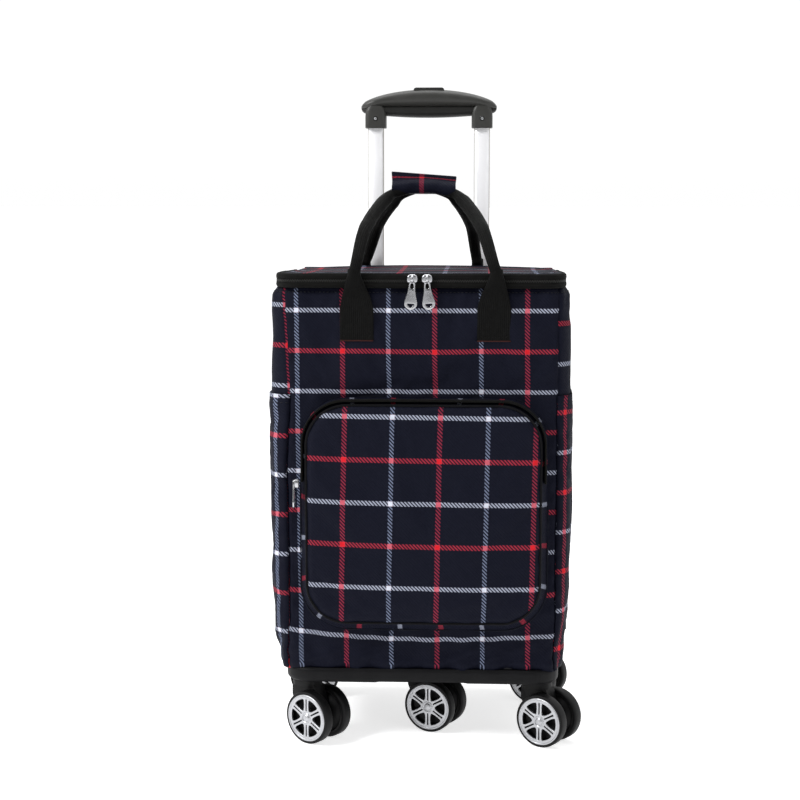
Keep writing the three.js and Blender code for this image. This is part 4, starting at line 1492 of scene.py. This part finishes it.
def make_screws():
    """A small slotted screw in the front of each grip socket, on a flat dark disc that is painted shade
    for the recess it sits in.
    """
    slot = [(-0.0010, -0.0002), (0.0010, -0.0002), (0.0010, 0.0002), (-0.0010, 0.0002)]
    for side in ("left", "right"):
        low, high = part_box(f"inner_tube_{side}")
        at = Vector(((low.x + high.x) / 2, GRIP_Y - 0.0126, 0.7042))
        # painted shade: a flat disc of the darkest plastic stands for the shadowed recess round the screw
        # in the grey socket
        painted_recess_shade = plate(f"grip_screw_painted_recess_shade_{side}", circle(0.0027, 28), 0.0010,
                    Matrix.Translation(at) @ FACING_FRONT, FORK_PLASTIC, 0.0002)
        finish_piece(painted_recess_shade, "handle", "grey_plastic")
        ahead = at - Vector((0, 0.0003, 0))
        head = plate(f"grip_screw_{side}", circle(0.0016, 24), 0.0012,
                     Matrix.Translation(ahead) @ FACING_FRONT, STEEL, 0.0003, holes=(slot,))
        finish_piece(head, "handle", "pin_steel")


BAND_LOW = 0.0726
BAND_HIGH = 0.0866
# The band's section, as (outward, upward), before it is stretched between those heights.
BAND = [(-0.0035, 0.0), (-0.0006, 0.0), (0.0004, 0.0012), (0.0008, 0.0045), (0.0008, 0.0110),
        (0.0004, 0.0140), (-0.0008, 0.0152), (-0.0035, 0.0152)]
BAND_TALL = BAND[-1][1]


def make_tray_rim():
    """The moulded band round the tray, a little deeper on both sides of its middle."""
    half, front, back, corner = 0.1530, BAG_FRONT - 0.0004, 0.1332, 0.031
    total = perimeter(half, front, back, corner)
    places = [outline_place(total * (i / 240 - 0.5), half, front, back, corner) for i in range(240)]
    rows = []
    for out, up in BAND:
        row = []
        for (x, y), (nx, ny) in places:
            low = BAND_LOW - 0.0014 * ease(0.043, 0.052, abs(x))
            row.append(Vector((x + nx * out, y + ny * out, low + up * (BAND_HIGH - low) / BAND_TALL)))
        rows.append(row)
    rim = grid_piece("tray_rim", rows + rows[:1], no_weave, TRAY_PLASTIC)
    clean_mesh(rim.data)
    finish_piece(rim, "tray", "black_plastic")


make_grip()
make_screws()
make_tray_rim()

# ------------------------------------------------------------------ casters

SPOKES = 6
RIM_OUT = 0.0262


def rim_holes():
    """The slot down the middle of each double spoke, and the window between two of them."""
    holes = []
    for k in range(SPOKES):
        spoke = math.radians(90 + 360 / SPOKES * k)
        ahead, side = (math.cos(spoke), math.sin(spoke)), (-math.sin(spoke), math.cos(spoke))
        slot = [(0.0078, -0.0007), (0.0212, -0.0009), (0.0212, 0.0009), (0.0078, 0.0007)]
        holes.append([(ahead[0] * a + side[0] * b, ahead[1] * a + side[1] * b) for a, b in slot])
        middle = spoke + math.radians(180 / SPOKES)
        inner, outer = math.radians(10), math.radians(21.5)
        arc = [(0.0216, outer * t) for t in (-1, -0.6, -0.2, 0.2, 0.6, 1)]
        ring = [(0.0092, -inner)] + arc + [(0.0092, inner)]
        window = [(r * math.cos(middle + a), r * math.sin(middle + a)) for r, a in ring]
        holes.append(smooth_ring(window, 2))
    return holes


def wheel_matrix(caster, letter):
    """A wheel's own frame: Y out of its face, Z up, at the middle of its tyre."""
    low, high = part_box(f"{caster}_tyre_{letter}")
    axis = Vector(JOINTS[f"{caster}_spin_{letter}"]["axis"])
    out = -axis if letter == "a" else axis
    up = Vector((0, 0, 1))
    across = out.cross(up)
    matrix = Matrix((across, out, up)).transposed().to_4x4()
    centre = (low + high) / 2
    centre.z = JOINTS[f"{caster}_spin_{letter}"]["pos_m"][2]
    return Matrix.Translation(centre) @ matrix


# Profiles of (radius, along) points for the turned parts of a wheel.
TREAD = [(0.0240, 0.0050), (0.0266, 0.0060), (0.0284, 0.0063), (0.0293, 0.0060), (0.0297, 0.0050),
         (0.0298, 0.0012), (0.0298, -0.0012), (0.0297, -0.0044), (0.0290, -0.0058),
         (0.0280, -0.0062), (0.0240, -0.0062)]
WEB = [(0.0001, -0.0052), (0.0242, -0.0052), (0.0242, 0.0010), (0.0200, -0.0006),
       (0.0060, -0.0006), (0.0001, -0.0006)]
HUB = [(0.0001, 0.0078), (0.0030, 0.0076), (0.0041, 0.0070), (0.0044, 0.0063), (0.0050, 0.0063),
       (0.0053, 0.0072), (0.0060, 0.0072), (0.0064, 0.0062), (0.0064, -0.0004)]
LIP = [(0.0267, 0.0058), (0.0263, 0.0067), (0.0254, 0.0070), (0.0246, 0.0066), (0.0246, 0.0040),
       (0.0267, 0.0040)]


def make_wheel_meshes():
    """The pattern that every wheel is a copy of."""
    tyre = lathe("tyre_pattern", TREAD, TYRE, 72)
    web = lathe("web_pattern", WEB, FORK_PLASTIC, 48, close=False)
    standing = Matrix.Translation((0, 0.0050, 0)) @ FACING_FRONT.inverted()
    face = plate("rim_pattern", circle(RIM_OUT, 72), 0.0030, standing, RIM, 0.0006, holes=rim_holes())
    hub = lathe("hub_pattern", HUB, RIM, 40, close=False)
    lip = lathe("lip_pattern", LIP, RIM, 72)
    return {"tyre": [tyre, web], "rim": [face, hub, lip]}


def make_wheels():
    patterns = make_wheel_meshes()
    for caster in CASTERS:
        for letter in "ab":
            matrix = wheel_matrix(caster, letter)
            for part, slot in (("tyre", "tyre_rubber"), ("rim", "silver_rim")):
                meshes = [pattern.data for pattern in patterns[part]]
                obj = joined(f"{caster}_{part}_{letter}_look", meshes, matrix)
                finish_piece(obj, f"{caster}_wheel_{letter}", slot, f"{caster}_{part}_{letter}")
    for pattern in patterns["tyre"] + patterns["rim"]:
        bpy.data.objects.remove(pattern)


def joined(name, meshes, matrix):
    """Several meshes as one object, each with its own material."""
    work = bmesh.new()
    materials = []
    for mesh in meshes:
        start = len(work.faces)
        work.from_mesh(mesh)
        work.faces.ensure_lookup_table()
        for face in work.faces[start:]:
            face.material_index = len(materials)
        materials.append(mesh.materials[0])
    whole = bpy.data.meshes.new(name)
    work.to_mesh(whole)
    work.free()
    whole.transform(matrix)
    return new_object(name, whole, *materials)


def make_forks():
    for caster in CASTERS:
        refine(f"{caster}_fork", FORK_PLASTIC, 0.0014, 3, 35)
        refine(f"{caster}_axle", STEEL, 0.0004, 2, 50)


make_wheels()
make_forks()

# ------------------------------------------------------------------ room

GROUND = srgb(248, 248, 249)
AMBIENT = 0.36


FLOOR_REACH = 60.0


def make_floor():
    """A white floor that glows a little, so that it stays as pale as the photo's background."""
    corners = [(a * FLOOR_REACH, b * FLOOR_REACH, 0) for a, b in ((-1, -1), (1, -1), (1, 1), (-1, 1))]
    mesh = bpy.data.meshes.new("floor")
    mesh.from_pydata(corners, [], [(0, 1, 2, 3)])
    paint = Graph("floor_paint", GROUND, 0.9, specular=0.1)
    paint.set("Emission Color", (1.0, 1.0, 1.0, 1.0))
    paint.set("Emission Strength", 0.70)
    floor = new_object("floor", mesh, paint.material)


def make_world():
    """A white room, darker behind the camera and brighter overhead. It lights less than it
    reflects, so that the cloth's own shadows stay deep."""
    world = bpy.data.worlds.new("studio")
    bpy.context.scene.world = world
    world.use_nodes = True
    w = Nodes(world.node_tree)
    way = w.split(w.node("ShaderNodeTexCoord").outputs["Generated"])
    depth = w.fit(way[1], -0.9, -0.2, 0.2, 1.0)
    height = w.fit(way[2], 0.0, 1.0, 1.0, 1.5)
    diffuse = w.node("ShaderNodeLightPath").outputs["Is Diffuse Ray"]
    strength = w.times(w.times(depth, height), w.fit(diffuse, 0.0, 1.0, 1.0, AMBIENT))
    background = w.tree.nodes["Background"]
    background.inputs["Color"].default_value = (1.0, 1.0, 1.0, 1.0)
    w.join(strength, background.inputs["Strength"])


def make_light(name, place, aim, size, power):
    light = bpy.data.lights.new(name, "AREA")
    light.shape = "RECTANGLE"
    light.size, light.size_y = size
    light.energy = power
    obj = bpy.data.objects.new(name, light)
    bpy.context.scene.collection.objects.link(obj)
    obj.location = place
    obj.rotation_euler = (Vector(aim) - Vector(place)).to_track_quat("-Z", "Y").to_euler()


def make_camera():
    camera = bpy.data.cameras.new("camera")
    camera.lens = 75.0
    camera.sensor_width = 36
    camera.dof.use_dof = False
    obj = bpy.data.objects.new("camera", camera)
    bpy.context.scene.collection.objects.link(obj)
    obj.location = (0.066, -1.915, 0.618)
    pitch, yaw = 7.15, 2.84
    obj.rotation_euler = (math.radians(90 - pitch), 0, math.radians(yaw))
    bpy.context.scene.camera = obj


make_floor()
make_world()
make_light("key", (-1.75, -1.15, 1.9), (0, 0, 0.35), (0.8, 0.8), 52)
make_light("fill", (1.8, -1.6, 1.3), (0, 0, 0.3), (1.4, 1.8), 7)
make_light("top", (0.0, 0.3, 2.4), (0, 0, 0.3), (1.8, 1.4), 26)
make_camera()
bpy.context.scene.view_settings.view_transform = "Standard"
